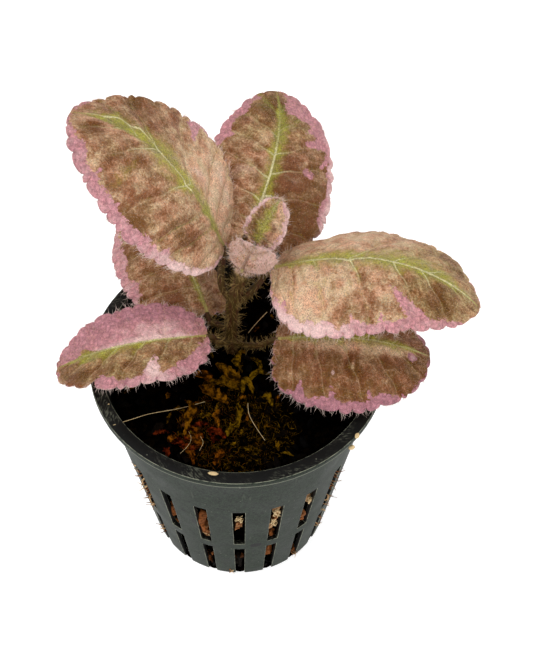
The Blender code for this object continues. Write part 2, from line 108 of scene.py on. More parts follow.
# The growing medium, as in the packed model
MEDIUM_TOP = 67 * MM
MEDIUM_LOW = 1.9 * MM
LUMP = 1.1 * MM
GAP = 0.3 * MM
CHIP_SPREAD = 34 * MM  # how far from the middle chips lie
STEM_CLEARING = 4 * MM  # no chip lies nearer to the stem
CHIP_CORNERS = 14  # the points whose hull is a chip
CHIP_SIZES = ((1.8, 5.5), (1.0, 2.6), (0.8, 1.8))  # ranges of its sides, in millimetres
SPLINTERS = 5  # smaller chips round each bit in a slot
BACK_HEIGHTS = ((5, 17), (28, 36), (38, 47))  # ranges in which bits lie in each slot at the back
BACK_SIZES = ((1.8, 2.8), (1.8, 2.8), (2.5, 7))  # and of their sides
FRESH_BARK = (-13 * MM, -21 * MM, 11 * MM)  # middle and radius of the spot with the reddest chips
SMALL_SPRIGS = 40  # strewn all over the medium
SPRIG_SPREAD = 30  # how far from the middle they lie, in millimetres
RED_SPRIGS = 26  # round the spot with the fresh bark
RED_PLACE = ((-12, 4.5), (-23, 2.6))  # middle and spread in x and in y, in millimetres
RED_REACH = 33  # no red sprig lies further from the middle of the pot, in millimetres
THREAD_MIDDLE = -19 * MM  # where the patch of fine moss lies in y
THREAD_RADIUS = 16 * MM
THREAD_DEPTH = 0.8  # the patch's depth as a share of its breadth
THREAD_REACH = 33.5 * MM  # no thread is rooted further out
SLOT_ROOTS = 6  # in each slot of ROOT_SLOTS
TUFT_FIBRES = 5  # in each tuft

# The leafy moss before the stem: each sprig's path and width in millimetres, and its tone, from
# 0 for olive to 1 for dry orange-brown
SPRIGS = (
    (((0.5, -1.1, 68.5), (0.1, -0.7, 72.5), (0.9, 0.4, 77)), 2.6, 0.35),
    (((6.5, -1.4, 69), (5.2, 0.2, 71.5), (3.3, 0.6, 73.5)), 1.5, 0.1),
    (((1.6, -5.6, 69), (-2.2, -4.8, 72), (-5.9, -1.4, 73.5)), 3.6, 0.5),
    (((-6.2, -6.2, 69), (-8.6, -5.2, 71.8), (-12.2, -3.9, 72)), 2.6, 0.8),
    (((-2.4, -11.6, 69), (-6.2, -10.6, 70.8), (-10.4, -7.2, 71)), 4.0, 0.6),
    (((1.5, -7.4, 69), (-3.5, -6.8, 71), (-9.4, -6.2, 70.8)), 3.0, 0.45),
    (((-13.6, -22, 69), (-12.6, -17.6, 70), (-11.8, -14.2, 70.6), (-14, -12, 71)), 2.4, 0.6),
    (((0, -11.5, 69), (0.9, -15.5, 70), (-0.2, -20.6, 69)), 1.7, 0.2),
    (((2.5, -5.4, 69), (5.0, -3.0, 71), (8.6, -2.0, 69.5)), 1.9, 0.15),
    (((1.2, -8.0, 69), (2.6, -6.4, 71.8), (4.2, -8.8, 70)), 2.2, 0.3),
    (((-0.8, -17.6, 69), (-1.2, -19.8, 70.2), (-2.4, -22.0, 69)), 1.9, 0.05),
    (((6.6, -9.6, 69), (8.0, -10.2, 70.4), (9.4, -12.2, 69)), 1.9, 0.0),
    (((-4.4, -13.4, 69), (-5.6, -16.2, 70), (-4.6, -19.4, 69)), 1.5, 0.7),
)
# Loose fibres and a straw: their paths and radius in millimetres
LOOSE_FIBRES = (
    (((-31.8, -22.9, 75.15), (-27, -19.8, 73.5), (-22.9, -16.8, 71.5), (-15, -14, 70.2),
      (-8.6, -11.4, 69.6)), 0.085),
    (((2.9, -12.6, 71), (3.2, -15.5, 70.5), (4.6, -18.3, 69.6), (7.6, -22.9, 68.8)), 0.075),
    (((2.5, 12.3, 69), (5, 15, 70.5), (7.7, 17.5, 72)), 0.09),
    (((-14.5, -27.5, 69), (-12.5, -25.5, 69.8), (-11.8, -23, 69.4), (-12.6, -20.5, 69)), 0.045),
    (((-9.5, -26.5, 69), (-8.6, -24.5, 69.8), (-9.4, -22.2, 69.3)), 0.045),
)
# Seeds: middle, direction, and length and half width, in millimetres
SEEDS = (
    ((-5.4, -37.2, 75.35), (1, -0.12, 0), (2.7, 0.62)),
    ((31.4, -25.0, 74.9), (0.5, 0.8, 0.2), (1.7, 0.6)),
    ((30.2, -25.8, 70.5), (0.3, -0.2, 1), (2.8, 0.8)),
    ((-2.1, -38.2, 73.6), (1, 0, 0), (0.6, 0.25)), ((-33.5, -16.4, 75.2), (1, 1, 0), (0.5, 0.2)),
)
# Where pale roots lie in a slot, and where tufts stick out of one: angle from -Y towards +X in
# degrees, height and, for the tufts, how far they stick out, in millimetres
ROOT_SLOTS = ((1.3, 43.5), (20.0, 44.5), (19.4, 37.5), (38.6, 42.5))
TUFTS = (
    (-53.5, 48, 1.0), (-53.5, 43, 1.6), (-53.5, 38, 2.4), (-54.0, 33, 1.2), (-54.5, 27, 2.2),
    (-53.5, 10, 1.8), (55.3, 46, 1.6), (55.3, 40, 2.2), (55.3, 33, 3.0), (55.3, 26, 2.2),
    (55.3, 14, 1.6), (37.3, 2.6, 1.0), (-4.0, 2.0, 0.6), (139, 40, 1.0),
    (183, 34, 1.2), (221, 44, 1.0), (203, 12, 0.8),
)
# Fresh bark in the slots: angle from -Y towards +X in degrees, height, how far behind the wall,
# then radial, across and upright size in millimetres, and tone, from 0 for black to 2 for pale
SLOT_BITS = (
    (-37.5, 33.5, 0.4, 2.6, 2.4, 7.0, 0.95), (-37.0, 26.5, 0.6, 2.2, 2.2, 4.0, 0.8),
    (-18.5, 38.5, 0.1, 3.0, 2.8, 8.0, 0.95), (-18.0, 33.0, -0.1, 3.2, 2.6, 5.5, 1.15),
    (-17.5, 26.8, 0.5, 2.2, 2.4, 4.5, 1.35), (-19.0, 7.0, 0.4, 2.2, 2.2, 6.0, 0.9),
    (1.0, 36.5, 0.3, 2.6, 2.6, 5.0, 1.4), (0.8, 8.0, 0.5, 2.4, 2.4, 9.0, 0.75),
    (19.8, 45.5, 0.2, 2.2, 2.8, 4.0, 1.5), (20.6, 39.5, 0.0, 2.4, 2.0, 5.0, 1.35),
    (19.2, 33.8, 0.2, 2.2, 2.8, 3.2, 1.5), (20.2, 26.0, 0.3, 2.2, 2.2, 4.5, 1.0),
    (19.5, 13.5, 0.2, 2.8, 2.8, 6.5, 1.15), (38.5, 42.0, 0.0, 2.6, 2.8, 5.5, 1.6),
    (37.5, 30.0, -0.1, 3.0, 2.8, 7.0, 1.3), (37.0, 24.0, 0.4, 2.2, 2.2, 3.0, 1.1),
    (39.5, 3.0, 0.0, 3.0, 2.6, 4.0, 0.95),
)

# The stem's centre line and radius, in millimetres
STEM_PATH = (
    ((-1.9, 7.8, 60.5), 1.75),
    ((-1.9, 7.8, 67), 1.75),
    ((-2.1, 8.1, 73), 1.7),
    ((-1.9, 8.3, 80), 1.65),
    ((-1.4, 8.5, 88), 1.9),
    ((-0.2, 8.7, 93), 1.7),
    ((1.0, 8.5, 98), 1.7),
    ((1.5, 8.3, 101.5), 0.8),
)

# The leaves' shapes are those of the packed model: base is where the petiole meets the blade, in
# millimetres; rise, droop, sweep and roll turn the midrib, in degrees; the pairs hold the left
# and the right half, looking from the base to the tip: width in millimetres, the fold at the
# midrib, the curl from there to the margin, and the taper towards the tip.
Leaf = namedtuple(
    "Leaf",
    "name base azimuth rise droop sweep roll length width fold curl taper lobe fullness teeth"
    " petiole petiole_radius",
)

# What is drawn on a leaf. A place on it is a row, the share of the margin from base to tip, and
# a reach, 0 at the midrib and 1 at the margin. pink and green hold a line for each half: pink
# lies beyond its line and the green flush within its own. veins are the rows at which the side
# veins leave the midrib. rib holds (row, drift to the left, whiteness). patches hold
# (kind, half, row, reach, size along, size across, strength), and spikes, the pink wedges that
# lean across the veins, hold (half, row and reach of the tip, row and reach of the foot, half
# width of the foot in millimetres). pale and mauve tint the pink, and tan lightens the field.
Marks = namedtuple("Marks", "pink green veins rib patches spikes pale mauve tan")

LEAVES = (
    Leaf(
        "leaf_upper_left", (-3.7, 13.6, 104), 151, 72, 73, 20, 14, 57, (24, 21.5), (0, -8),
        (-58, 14), (0.14, -0.1), 0.06, 0.92, 14,
        ((-1.4, 8.5, 88), (-3.9, 9.2, 92), (-4.5, 10.2, 97)), 1.15,
    ),
    Leaf(
        "leaf_back", (1.8, 22.7, 98), 59, 33, 49, 41, 7, 48.7, (19, 19.8), (-3, -13),
        (-27, -29), (-0.08, -0.14), 0.1, 0.85, 13,
        ((-2.0, 8.2, 79), (-0.9, 12.5, 83), (0.4, 18.0, 91)), 1.05,
    ),
    Leaf(
        "leaf_upper_right", (9.1, 10.4, 100), -10, 33, 82, -8, -5, 59.4, (21, 21.5), (-13, -7),
        (-25, -42), (0.05, -0.2), 0.05, 0.88, 14,
        ((-1.4, 8.5, 88), (1.6, 8.2, 90), (5.0, 8.4, 95)), 1.1,
    ),
    Leaf(
        "leaf_lower_right", (10.2, 0.9, 82), -8, 18, 54, 6, -2, 42.8, (18, 21), (-5, -3),
        (-26, -31), (0, 0), 0.08, 0.86, 12,
        ((-2.1, 8.0, 71), (1.6, 5.2, 73), (5.6, 2.4, 76.5)), 0.95,
    ),
    Leaf(
        "leaf_lower_left", (-8.0, -0.7, 85), 190, 7, 47, -4, 1, 42.4, (14.8, 12), (9, 0),
        (-7, 4), (-0.06, 0), 0.03, 0.9, 12,
        ((-2.1, 8.0, 71), (-4.4, 4.0, 75.5), (-6.3, 1.2, 80.5)), 0.95,
    ),
    Leaf(
        "leaf_behind_left", (-8.5, 8.6, 82.5), 107, 22, 57, 42, 2, 44.4, (18.2, 15.8), (-10, -30),
        (-24, -38), (0, 0), 0.04, 0.86, 12,
        ((-2.1, 8.1, 75), (-5.0, 9.2, 76.2), (-7.8, 8.9, 78.8)), 0.9,
    ),
)

YOUNG_LEAVES = (
    Leaf(
        "young_leaf_front", (1.2, 5.9, 104), -54, 72, 5, 5, -40, 15.2, (7.4, 5.5), (-11, 23),
        (24, 34), (0, 0), 0.02, 0.8, 6,
        ((1.0, 8.5, 98.5), (1.1, 6.4, 101.2)), 0.65,
    ),
    Leaf(
        "young_leaf_back", (4.5, 12.0, 107.5), 40, 59, 13, 0, 9, 13.6, (4.7, 6.7), (17, 6),
        (19, 6), (-0.13, 0), 0.02, 0.8, 6,
        ((1.3, 8.4, 99.0), (2.8, 10.2, 103)), 0.7,
    ),
)

MARKS = {
    "leaf_upper_left": Marks(
        pink=(
            ((0, 0.82), (0.1, 0.86), (0.2, 0.88), (0.25, 0.84), (0.28, 0.88), (0.34, 0.8),
             (0.36, 0.86), (0.4, 0.86), (0.43, 0.83), (0.5, 0.86), (0.58, 0.87), (0.63, 0.84),
             (0.7, 0.85), (0.75, 0.84), (0.78, 0.84), (0.8, 0.74), (0.83, 0.7), (0.86, 0.74),
             (0.9, 0.76), (0.94, 0.8), (1, 0.7)),
            ((0, 1.02), (0.4, 1.0), (0.44, 0.95), (0.46, 0.95), (0.54, 0.97),
             (0.56, 1.01), (0.84, 1.0), (0.88, 0.94), (0.95, 0.9), (1, 0.7)),
        ),
        green=(
            ((0, 0.12), (0.4, 0.12), (0.45, 0.22), (0.6, 0.22), (0.66, 0.1), (1, 0.02)),
            ((0, 0.12), (0.5, 0.15), (0.55, 0.3), (0.8, 0.36), (0.9, 0.15), (1, 0.02)),
        ),
        veins=((0.17, 0.27, 0.43, 0.65, 0.8), (0.14, 0.25, 0.42, 0.62, 0.72)),
        rib=((0, 0.02, 0.0), (0.38, 0.06, 0.1), (0.44, 0.06, 0.9), (0.6, 0, 0.9),
             (0.65, -0.07, 0.85), (0.72, -0.2, 0.8), (0.8, -0.24, 0.6), (1, -0.1, 0.1)),
        patches=(
            ("brown", 0, 0.29, 0.55, 0.08, 0.12, 0.8), ("brown", 0, 0.52, 0.86, 0.1, 0.1, 0.7),
            ("red", 0, 0.67, 0.75, 0.09, 0.18, 0.7), ("brown", 0, 0.87, 0.38, 0.04, 0.25, 1),
            ("red", 1, 0.575, 0.8, 0.035, 0.2, 0.9), ("red", 1, 0.675, 0.7, 0.03, 0.15, 0.8),
            ("brown", 1, 0.73, 0.85, 0.04, 0.15, 0.9), ("pale", 1, 0.4, 0.3, 0.06, 0.12, 0.6),
            ("pale", 1, 0.28, 0.75, 0.16, 0.2, 0.5), ("pale", 0, 0.2, 0.95, 0.16, 0.14, 0.8),
            ("tan", 0, 0.14, 0.5, 0.1, 0.35, 0.7), ("tan", 1, 0.25, 0.5, 0.2, 0.5, 1.0),
            ("red", 0, 0.57, 0.6, 0.05, 0.2, 0.5), ("red", 1, 0.83, 0.5, 0.05, 0.3, 0.6),
            ("red", 0, 0.8, 0.45, 0.04, 0.2, 0.6), ("green", 0, 0.66, 0.55, 0.03, 0.3, 0.5),
            ("brown", 1, 0.75, 0.5, 0.2, 0.5, 0.6), ("green", 1, 0.86, 0.3, 0.08, 0.4, 0.4),
            ("brown", 0, 0.72, 0.4, 0.1, 0.3, 0.5), ("brown", 0, 0.45, 0.6, 0.3, 0.4, 0.15),
        ),
        spikes=((0, 0.6, 0.78, 0.615, 1, 1.2), (0, 0.725, 0.74, 0.74, 1, 1.0),
                (1, 0.48, 0.66, 0.505, 1, 2.2), (0, 0.335, 0.78, 0.345, 1, 1.2)),
        pale=0.15, mauve=0.35, tan=0.15,
    ),
    "leaf_back": Marks(
        pink=(
            ((0, 1.02), (0.5, 1.0), (0.56, 0.86), (0.6, 0.8), (0.63, 0.7), (0.66, 0.82),
             (0.76, 0.79), (0.79, 0.72), (0.83, 0.76), (0.88, 0.7), (0.905, 0.72), (0.92, 1.05),
             (1, 1.05)),
            ((0, 1.02), (0.33, 1.0), (0.35, 0.84), (0.43, 0.83), (0.45, 0.88), (0.56, 0.87),
             (0.6, 0.9), (0.64, 0.86), (0.66, 0.8), (0.68, 0.7), (0.73, 0.66), (0.76, 0.64),
             (0.79, 0.5), (0.8, 0.16), (0.85, 0.2), (0.9, 0.32), (0.95, 0.6), (0.975, 1.05),
             (1, 1.05)),
        ),
        green=(
            ((0, 0.1), (0.25, 0.12), (0.7, 0.1), (1, 0.03)),
            ((0, 0.1), (0.25, 0.1), (0.55, 0.13), (0.6, 0.16), (0.75, 0.15), (0.9, 0.06)),
        ),
        veins=((0.12, 0.26, 0.4, 0.53, 0.65, 0.8), (0.14, 0.29, 0.43, 0.54, 0.69, 0.82)),
        rib=((0, 0, 0.3), (0.2, 0, 0.6), (0.3, 0, 0.95), (0.52, 0, 0.9), (0.6, 0, 0.35),
             (0.8, 0, 0.2), (1, 0, 0.0)),
        patches=(
            ("red", 1, 0.415, 0.25, 0.018, 0.18, 2), ("red", 1, 0.48, 0.25, 0.022, 0.18, 2),
            ("red", 1, 0.54, 0.25, 0.022, 0.18, 2), ("brown", 0, 0.5, 0.6, 0.2, 0.3, 0.4),
            ("pink", 1, 0.512, 0.53, 0.02, 0.1, 1), ("red", 0, 0.72, 0.6, 0.05, 0.2, 0.8),
            ("brown", 1, 0.3, 0.5, 0.2, 0.5, 0.7), ("brown", 0, 0.87, 0.2, 0.1, 0.3, 1.3),
            ("red", 1, 0.3, 0.7, 0.2, 0.3, 0.55), ("red", 0, 0.38, 0.5, 0.1, 0.3, 0.3),
            ("pale", 1, 0.45, 0.98, 0.3, 0.1, 0.6), ("brown", 1, 0.88, 0.1, 0.1, 0.15, 1.2),
            ("pale", 0, 0.42, 0.4, 0.08, 0.3, 0.5), ("tan", 0, 0.4, 0.5, 0.3, 0.5, 0.4),
            ("red", 0, 0.75, 0.5, 0.14, 0.5, -0.9), ("red", 1, 0.74, 0.3, 0.1, 0.3, -0.9),
            ("green", 0, 0.86, 0.4, 0.1, 0.4, 0.4), ("green", 1, 0.8, 0.25, 0.12, 0.3, 0.4),
            ("pale", 1, 0.44, 0.35, 0.04, 0.2, 0.5), ("pale", 1, 0.35, 0.4, 0.04, 0.3, 0.4),
        ),
        spikes=((1, 0.565, 0.74, 0.635, 0.95, 1.5), (1, 0.645, 0.46, 0.675, 0.85, 1.8),
                (1, 0.7, 0.5, 0.72, 0.8, 1.5),
                (0, 0.62, 0.76, 0.63, 0.98, 1.0)),
        pale=0.0, mauve=0.3, tan=-0.2,
    ),
    "leaf_upper_right": Marks(
        pink=(
            ((0, 1.0), (0.3, 0.99), (0.8, 0.98), (1, 0.9)),
            ((0, 1.0), (0.12, 0.95), (0.14, 0.83), (0.17, 0.8), (0.21, 0.82),
             (0.25, 0.83), (0.29, 0.89), (0.31, 0.79), (0.34, 0.87), (0.38, 0.8), (0.4, 0.85),
             (0.44, 0.92), (0.45, 0.84), (0.5, 0.83), (0.56, 0.88), (0.6, 0.84), (0.65, 0.86),
             (0.68, 0.8), (0.72, 0.76), (0.76, 0.82), (0.82, 0.83), (0.86, 0.87), (0.9, 0.93),
             (0.93, 1.02), (1, 1.02)),
        ),
        green=(
            ((0, 0.15), (0.5, 0.15), (0.6, 0.3), (0.8, 0.3), (0.95, 0.1)),
            ((0, 0.12), (0.6, 0.15), (0.9, 0.12), (1, 0.05)),
        ),
        veins=((0.12, 0.27, 0.44, 0.6, 0.74), (0.12, 0.25, 0.42, 0.6, 0.71, 0.84)),
        rib=((0, 0, 0.2), (0.36, -0.03, 0.5), (0.42, -0.06, 0.9), (0.5, 0, 0.95),
             (0.83, 0, 0.85), (1, 0, 0.1)),
        patches=(
            ("red", 0, 0.55, 0.7, 0.06, 0.25, 0.6), ("pale", 1, 0.3, 0.92, 0.2, 0.12, 0.7),
            ("red", 1, 0.6, 0.62, 0.05, 0.17, 0.8), ("brown", 1, 0.8, 0.5, 0.1, 0.35, 0.6),
            ("tan", 1, 0.27, 0.55, 0.15, 0.3, 0.8), ("tan", 0, 0.3, 0.5, 0.3, 0.4, 0.5),
            ("brown", 1, 0.42, 0.7, 0.06, 0.14, 0.3), ("brown", 1, 0.52, 0.7, 0.05, 0.16, 0.4),
            ("brown", 0, 0.8, 0.7, 0.15, 0.3, 0.5), ("green", 1, 0.35, 0.4, 0.2, 0.3, 0.2),
            ("brown", 1, 0.78, 0.4, 0.16, 0.5, 0.3), ("red", 1, 0.82, 0.4, 0.2, 0.6, -0.9),
            ("red", 0, 0.8, 0.5, 0.2, 0.6, -0.9),
        ),
        spikes=((1, 0.606, 0.38, 0.745, 0.95, 2.8), (1, 0.185, 0.66, 0.2, 0.95, 1.5),
                (1, 0.472, 0.72, 0.49, 0.98, 1.0),
                (1, 0.585, 0.72, 0.6, 0.98, 1.1), (1, 0.31, 0.77, 0.315, 1, 1.1)),
        pale=0.15, mauve=0.1, tan=0.2,
    ),
    "leaf_lower_right": Marks(
        pink=(
            ((0, 1.0), (0.5, 0.95), (1, 0.8)),
            ((0, 1.0), (0.2, 0.97), (0.25, 0.95), (0.29, 0.86), (0.3, 0.72), (0.34, 0.9),
             (0.36, 0.9), (0.41, 0.85), (0.435, 0.86), (0.47, 0.84), (0.5, 0.86),
             (0.6, 0.88), (0.63, 0.82), (0.65, 0.82), (0.7, 0.86), (0.73, 0.92),
             (0.79, 1.0), (0.82, 0.92), (0.87, 0.95), (1, 0.8)),
        ),
        green=(((0, 0.08), (0.25, 0.12), (0.85, 0.12), (1, 0.03)),) * 2,
        veins=((0.14, 0.3, 0.45, 0.6, 0.75), (0.14, 0.29, 0.45, 0.6, 0.75)),
        rib=((0, 0, 0.3), (0.5, 0, 0.35), (1, 0, 0.3)),
        patches=(
            ("brown", 1, 0.53, 0.39, 0.026, 0.15, 2.0), ("tan", 1, 0.532, 0.4, 0.013, 0.09, 3.4),
            ("pink", 1, 0.86, 0.27, 0.03, 0.12, 1), ("pale", 1, 0.86, 0.3, 0.035, 0.12, 1),
            ("tan", 1, 0.55, 0.1, 0.4, 0.16, 1.6), ("pale", 1, 0.442, 0.52, 0.008, 0.03, 3),
            ("red", 1, 0.375, 0.55, 0.05, 0.17, 0.9), ("pale", 1, 0.41, 0.66, 0.015, 0.1, 0.6),
        ),
        spikes=((1, 0.295, 0.7, 0.315, 0.97, 1.4), (1, 0.445, 0.7, 0.46, 0.97, 1.3),
                (1, 0.6, 0.76, 0.615, 0.97, 1.2)),
        # Low tan and pale: its own darker colour and painted shade from the upper right leaf
        pale=-0.4, mauve=1.0, tan=-0.55,
    ),
    "leaf_lower_left": Marks(
        pink=(
            ((0, 0.5), (0.1, 0.5), (0.14, 0.5), (0.22, 0.57), (0.25, 0.68),
             (0.3, 0.7), (0.31, 0.8), (0.35, 0.82), (0.375, 0.86), (0.39, 0.74), (0.43, 0.7),
             (0.46, 0.82), (0.5, 0.87), (0.57, 0.82), (0.6, 0.78), (0.65, 0.74), (0.68, 0.8),
             (0.7, 1.05), (0.88, 1.05), (0.93, 0.8), (1, 0.6)),
            ((0, -0.1), (0.7, -0.1), (0.76, 0.1), (0.8, 0.25), (0.84, 0.1), (0.9, -0.1),
             (1, -0.1)),
        ),
        green=(
            ((0, 0.05), (0.45, 0.1), (0.5, 0.22), (0.8, 0.25), (0.9, 0.1)),
            ((0, 0.0), (0.7, 0.0), (0.8, 0.25), (0.9, 0.0)),
        ),
        veins=((0.12, 0.28, 0.44, 0.6, 0.75), (0.13, 0.28, 0.42, 0.56, 0.7)),
        rib=((0, 0, 0.1), (0.2, 0, 0.4), (0.6, 0, 0.45), (1, 0, 0.1)),
        patches=(
            ("green", 0, 0.74, 0.2, 0.05, 0.12, 1), ("brown", 0, 0.8, 0.7, 0.09, 0.3, 0.5),
            ("red", 0, 0.8, 0.98, 0.12, 0.08, 1), ("red", 0, 0.97, 0.9, 0.03, 0.3, 0.9),
            ("pale", 1, 0.35, 0.3, 0.2, 0.2, 0.5), ("mauve", 1, 0.4, 0.8, 0.3, 0.2, 0.8),
            ("pale", 1, 0.4, 0.04, 0.4, 0.1, 0.65), ("pale", 0, 0.35, 0.95, 0.25, 0.15, 0.2),
            ("pale", 0, 0.41, 0.7, 0.05, 0.3, 0.8), ("red", 0, 0.5, 0.5, 0.5, 0.5, -0.6),
        ),
        spikes=((0, 0.115, 0.36, 0.125, 0.7, 1.0), (0, 0.393, 0.38, 0.425, 0.92, 2.6)),
        pale=0.0, mauve=0.45, tan=-0.25,
    ),
    "leaf_behind_left": Marks(
        pink=(
            ((0, 1.0), (0.36, 0.98), (0.38, 0.84), (0.44, 0.8), (0.46, 0.72), (0.5, 0.8),
             (0.55, 0.84), (0.6, 0.82), (0.62, 0.8), (0.66, 0.73), (0.7, 0.7), (0.8, 0.7),
             (0.82, 0.62), (0.9, 0.7), (1, 0.5)),
            ((0, 1.0), (0.5, 0.98), (1, 0.85)),
        ),
        green=(((0, 0.1), (1, 0.05)),) * 2,
        veins=((0.12, 0.22, 0.38, 0.54, 0.7),) * 2,
        rib=((0, 0, 0.2), (0.5, 0, 0.4), (1, 0, 0.2)),
        patches=(("red", 0, 0.25, 0.5, 0.12, 0.25, 0.9),),
        spikes=((0, 0.47, 0.7, 0.48, 1, 1.5), (0, 0.81, 0.6, 0.82, 0.9, 1.2)),
        pale=0.25, mauve=0.3, tan=-0.25,
    ),
    "young_leaf_front": Marks(
        pink=(
            ((0, 0.3), (0.3, 0.4), (0.5, 0.25), (0.7, 0.35), (1, 0.2)),
            ((0, 0.3), (0.35, 0.5), (0.6, 0.3), (1, 0.2)),
        ),
        green=(((0, 0.0), (1, 0.0)),) * 2,
        veins=((0.2, 0.4, 0.6, 0.78),) * 2,
        rib=((0, 0, 0.0), (1, 0, 0.1)),
        patches=(
            ("red", 0, 0.5, 0.0, 0.6, 0.14, 1.2), ("red", 1, 0.5, 0.0, 0.6, 0.14, 1.2),
            ("red", 0, 0.3, 0.4, 0.12, 0.2, 0.6), ("mauve", 1, 0.3, 0.9, 0.3, 0.3, 0.7),
            ("mauve", 0, 0.2, 0.9, 0.3, 0.3, 0.6),
        ),
        spikes=(),
        pale=0.6, mauve=0.2, tan=0.3,
    ),
    "young_leaf_back": Marks(
        pink=(
            ((0, 0.95), (0.3, 0.9), (0.4, 0.8), (0.5, 0.88), (0.6, 0.78), (0.8, 0.8), (1, 0.6)),
            ((0, 0.9), (0.25, 0.75), (0.5, 0.85), (0.7, 0.74), (1, 0.6)),
        ),
        green=(((0, 0.35), (0.7, 0.35), (1, 0.15)), ((0, 0.25), (0.7, 0.25), (1, 0.1))),
        veins=((0.2, 0.4, 0.6, 0.78),) * 2,
        rib=((0, 0, 0.1), (1, 0, 0.3)),
        patches=(
            ("brown", 0, 0.4, 0.5, 0.5, 0.45, 0.7), ("red", 1, 0.2, 0.6, 0.1, 0.25, 1.0),
            ("red", 0, 0.5, 0.5, 0.6, 0.6, -0.6),
            ("red", 1, 0.45, 0.45, 0.12, 0.14, 0.5), ("red", 1, 0.6, 0.4, 0.3, 0.3, 0.35),
            ("pale", 0, 0.5, 1.0, 0.7, 0.2, 0.45), ("pale", 1, 0.5, 1.0, 0.7, 0.3, 0.45),
        ),
        spikes=(),
        pale=0.3, mauve=0.1, tan=0.5,
    ),
}

# Where a margin is torn, or stands out further where the depth is below 0: half, row, depth in
# millimetres, breadth in rows. The back leaf's left lobe closes the view behind the young leaves.
BITES = {
    "leaf_upper_left": ((0, 0.06, -1.2, 0.06),), "leaf_lower_left": ((0, 0.705, 3.2, 0.014),),
    "leaf_back": ((0, 0.06, -4.8, 0.07), (1, 0.05, -2.6, 0.05), (0, 0.78, 1.1, 0.05),
                  (0, 0.935, -0.7, 0.03)),
}

# What differs between grown and young leaves: the blade's grid, the scale of its relief and of
# its margin's lobes, its thickness, how far the petiole lies below it, the scale of the hairs on
# margin, face and petiole, the radius of those on the face, and how many a petiole has
Build = namedtuple(
    "Build",
    "rows_a_tooth columns relief tooth thickness under margin_hair face_hair stalk_hair"
    " face_hair_radius stalk_hairs",
)
GROWN = Build(12, 44, 1.0, 1.0, 0.45 * MM, 0.5 * MM, 1.0, 1.0, 1.0, 0.026 * MM, 180)
YOUNG = Build(12, 26, 0.4, 0.5, 0.3 * MM, 0.3 * MM, 0.7, 2.2, 0.6, 0.042 * MM, 120)
PETIOLE_SIDES = 14
SUNK_RINGS = 10  # the petiole's last rings lie in the blade and keep the leaf's finish
FULL_LENGTH = 50  # the length in millimetres of a blade with the full number of hairs


def linear(red, green, blue):
    """A colour as it is read off a screen, 0 to 255, in the linear values that Blender uses."""
    shares = (red / 255, green / 255, blue / 255)
    return tuple(s / 12.92 if s <= 0.04045 else ((s + 0.055) / 1.055) ** 2.4 for s in shares)


# The settings that a user would change


def colour(name, description, red, green, blue):
    return FloatVectorProperty(
        name=name, description=description, subtype="COLOR", size=3, min=0, max=1,
        default=linear(red, green, blue),
    )


def distance(name, description, millimetres):
    return FloatProperty(
        name=name, description=description, subtype="DISTANCE", unit="LENGTH", min=0,
        precision=5, default=millimetres * MM,
    )


def strength(name, description, default):
    return FloatProperty(name=name, description=description, min=0, default=default)


def count(name, description, default):
    return IntProperty(name=name, description=description, min=0, default=default)


class PotSettings(bpy.types.PropertyGroup):
    """The net pot's plastic."""

    # The wall colour is painted reflection of the pale floor on the near-black plastic
    wall: colour("Wall", "The dusty grey-green of the pot's wall", 28, 36, 26)
    rim: colour("Rim", "The near-black of the rim and the inside", 12, 12, 11)
    # Real specks, scuffs and scratches, and the painted highlights along the edges
    dust_and_highlight: colour("Dust", "Specks, scuffs and worn edges", 128, 130, 112)
    edge: distance("Edge rounding", "How far the pot's edges are rounded", 0.25)


class MediumSettings(bpy.types.PropertyGroup):
    """The growing medium and what lies on it."""

    # Its near-black is partly the mix's own colour, partly painted shade from the leaves
    soil: colour("Soil", "The wet, near-black mix", 2, 1, 1)
    bark: colour("Bark", "Weathered bark chips", 12, 6, 2)
    red_bark: colour("Red bark", "Fresh red-brown shreds", 124, 72, 36)
    pale_bark: colour("Pale bark", "The palest bits in the slots", 206, 172, 128)
    moss: colour("Moss", "Olive moss", 98, 72, 8)
    red_moss: colour("Red moss", "The reddest, driest moss", 84, 28, 8)
    dry_moss: colour("Dry moss", "Orange-brown, dry moss", 112, 62, 8)
    fibre: colour("Fibre", "Pale loose fibres and seeds", 205, 178, 130)
    crumb: distance("Crumb", "The size of the mix's crumbs", 2.4)
    chips: count("Bark chips", "How many chips lie in the mix", 150)
    threads: count("Moss threads", "How many threads the moss has", 2600)


class LeafSettings(bpy.types.PropertyGroup):
    """The blades' colours and relief."""

    light: colour("Light", "The palest places of a blade's field", 220, 189, 156)
    tan: colour("Tan", "The lighter field of a blade", 196, 160, 122)
    brown: colour("Brown", "The darker field of a blade", 148, 108, 76)
    # The blade's own darkest brown; the painted shade beyond the side veins also uses it
    dark: colour("Dark", "The darkest places, beyond the side veins", 104, 66, 24)
    red_brown: colour("Red brown", "The dark stripes and patches", 120, 70, 40)
    green: colour("Green", "The flush beside the midrib", 152, 152, 56)
    rib: colour("Midrib", "The whitish midrib and side veins", 222, 214, 166)
    pink: colour("Pink", "The variegated margin", 204, 142, 146)
    pale_pink: colour("Pale pink", "The palest margin", 235, 200, 195)
    mauve: colour("Mauve", "The cooler pink of the lower leaves", 178, 122, 132)
    under: colour("Underside", "The underside of the blades", 216, 160, 136)
    shaded_rib: colour("Shaded midrib", "The midrib where it isn't white", 160, 156, 72)
    dark_rib: colour("Dark midrib", "The midrib under the front young leaf", 110, 50, 50)
    stalk: colour("Stalk", "The olive of the stem and petioles", 60, 44, 8)
    red_stalk: colour("Red stalk", "The stalks' redder streaks", 60, 30, 8)
    # Painted shade in the notches between the margin's lobes
    notch: colour("Notch", "The darker pink in the margin's notches", 170, 88, 112)
    tooth: distance("Tooth", "How far a margin's lobe stands out from its notches", 1.25)
    quilting: distance("Quilting", "How far the blade swells between its veins", 0.65)
    net: distance("Net", "How far it swells between its finest veins", 0.22)


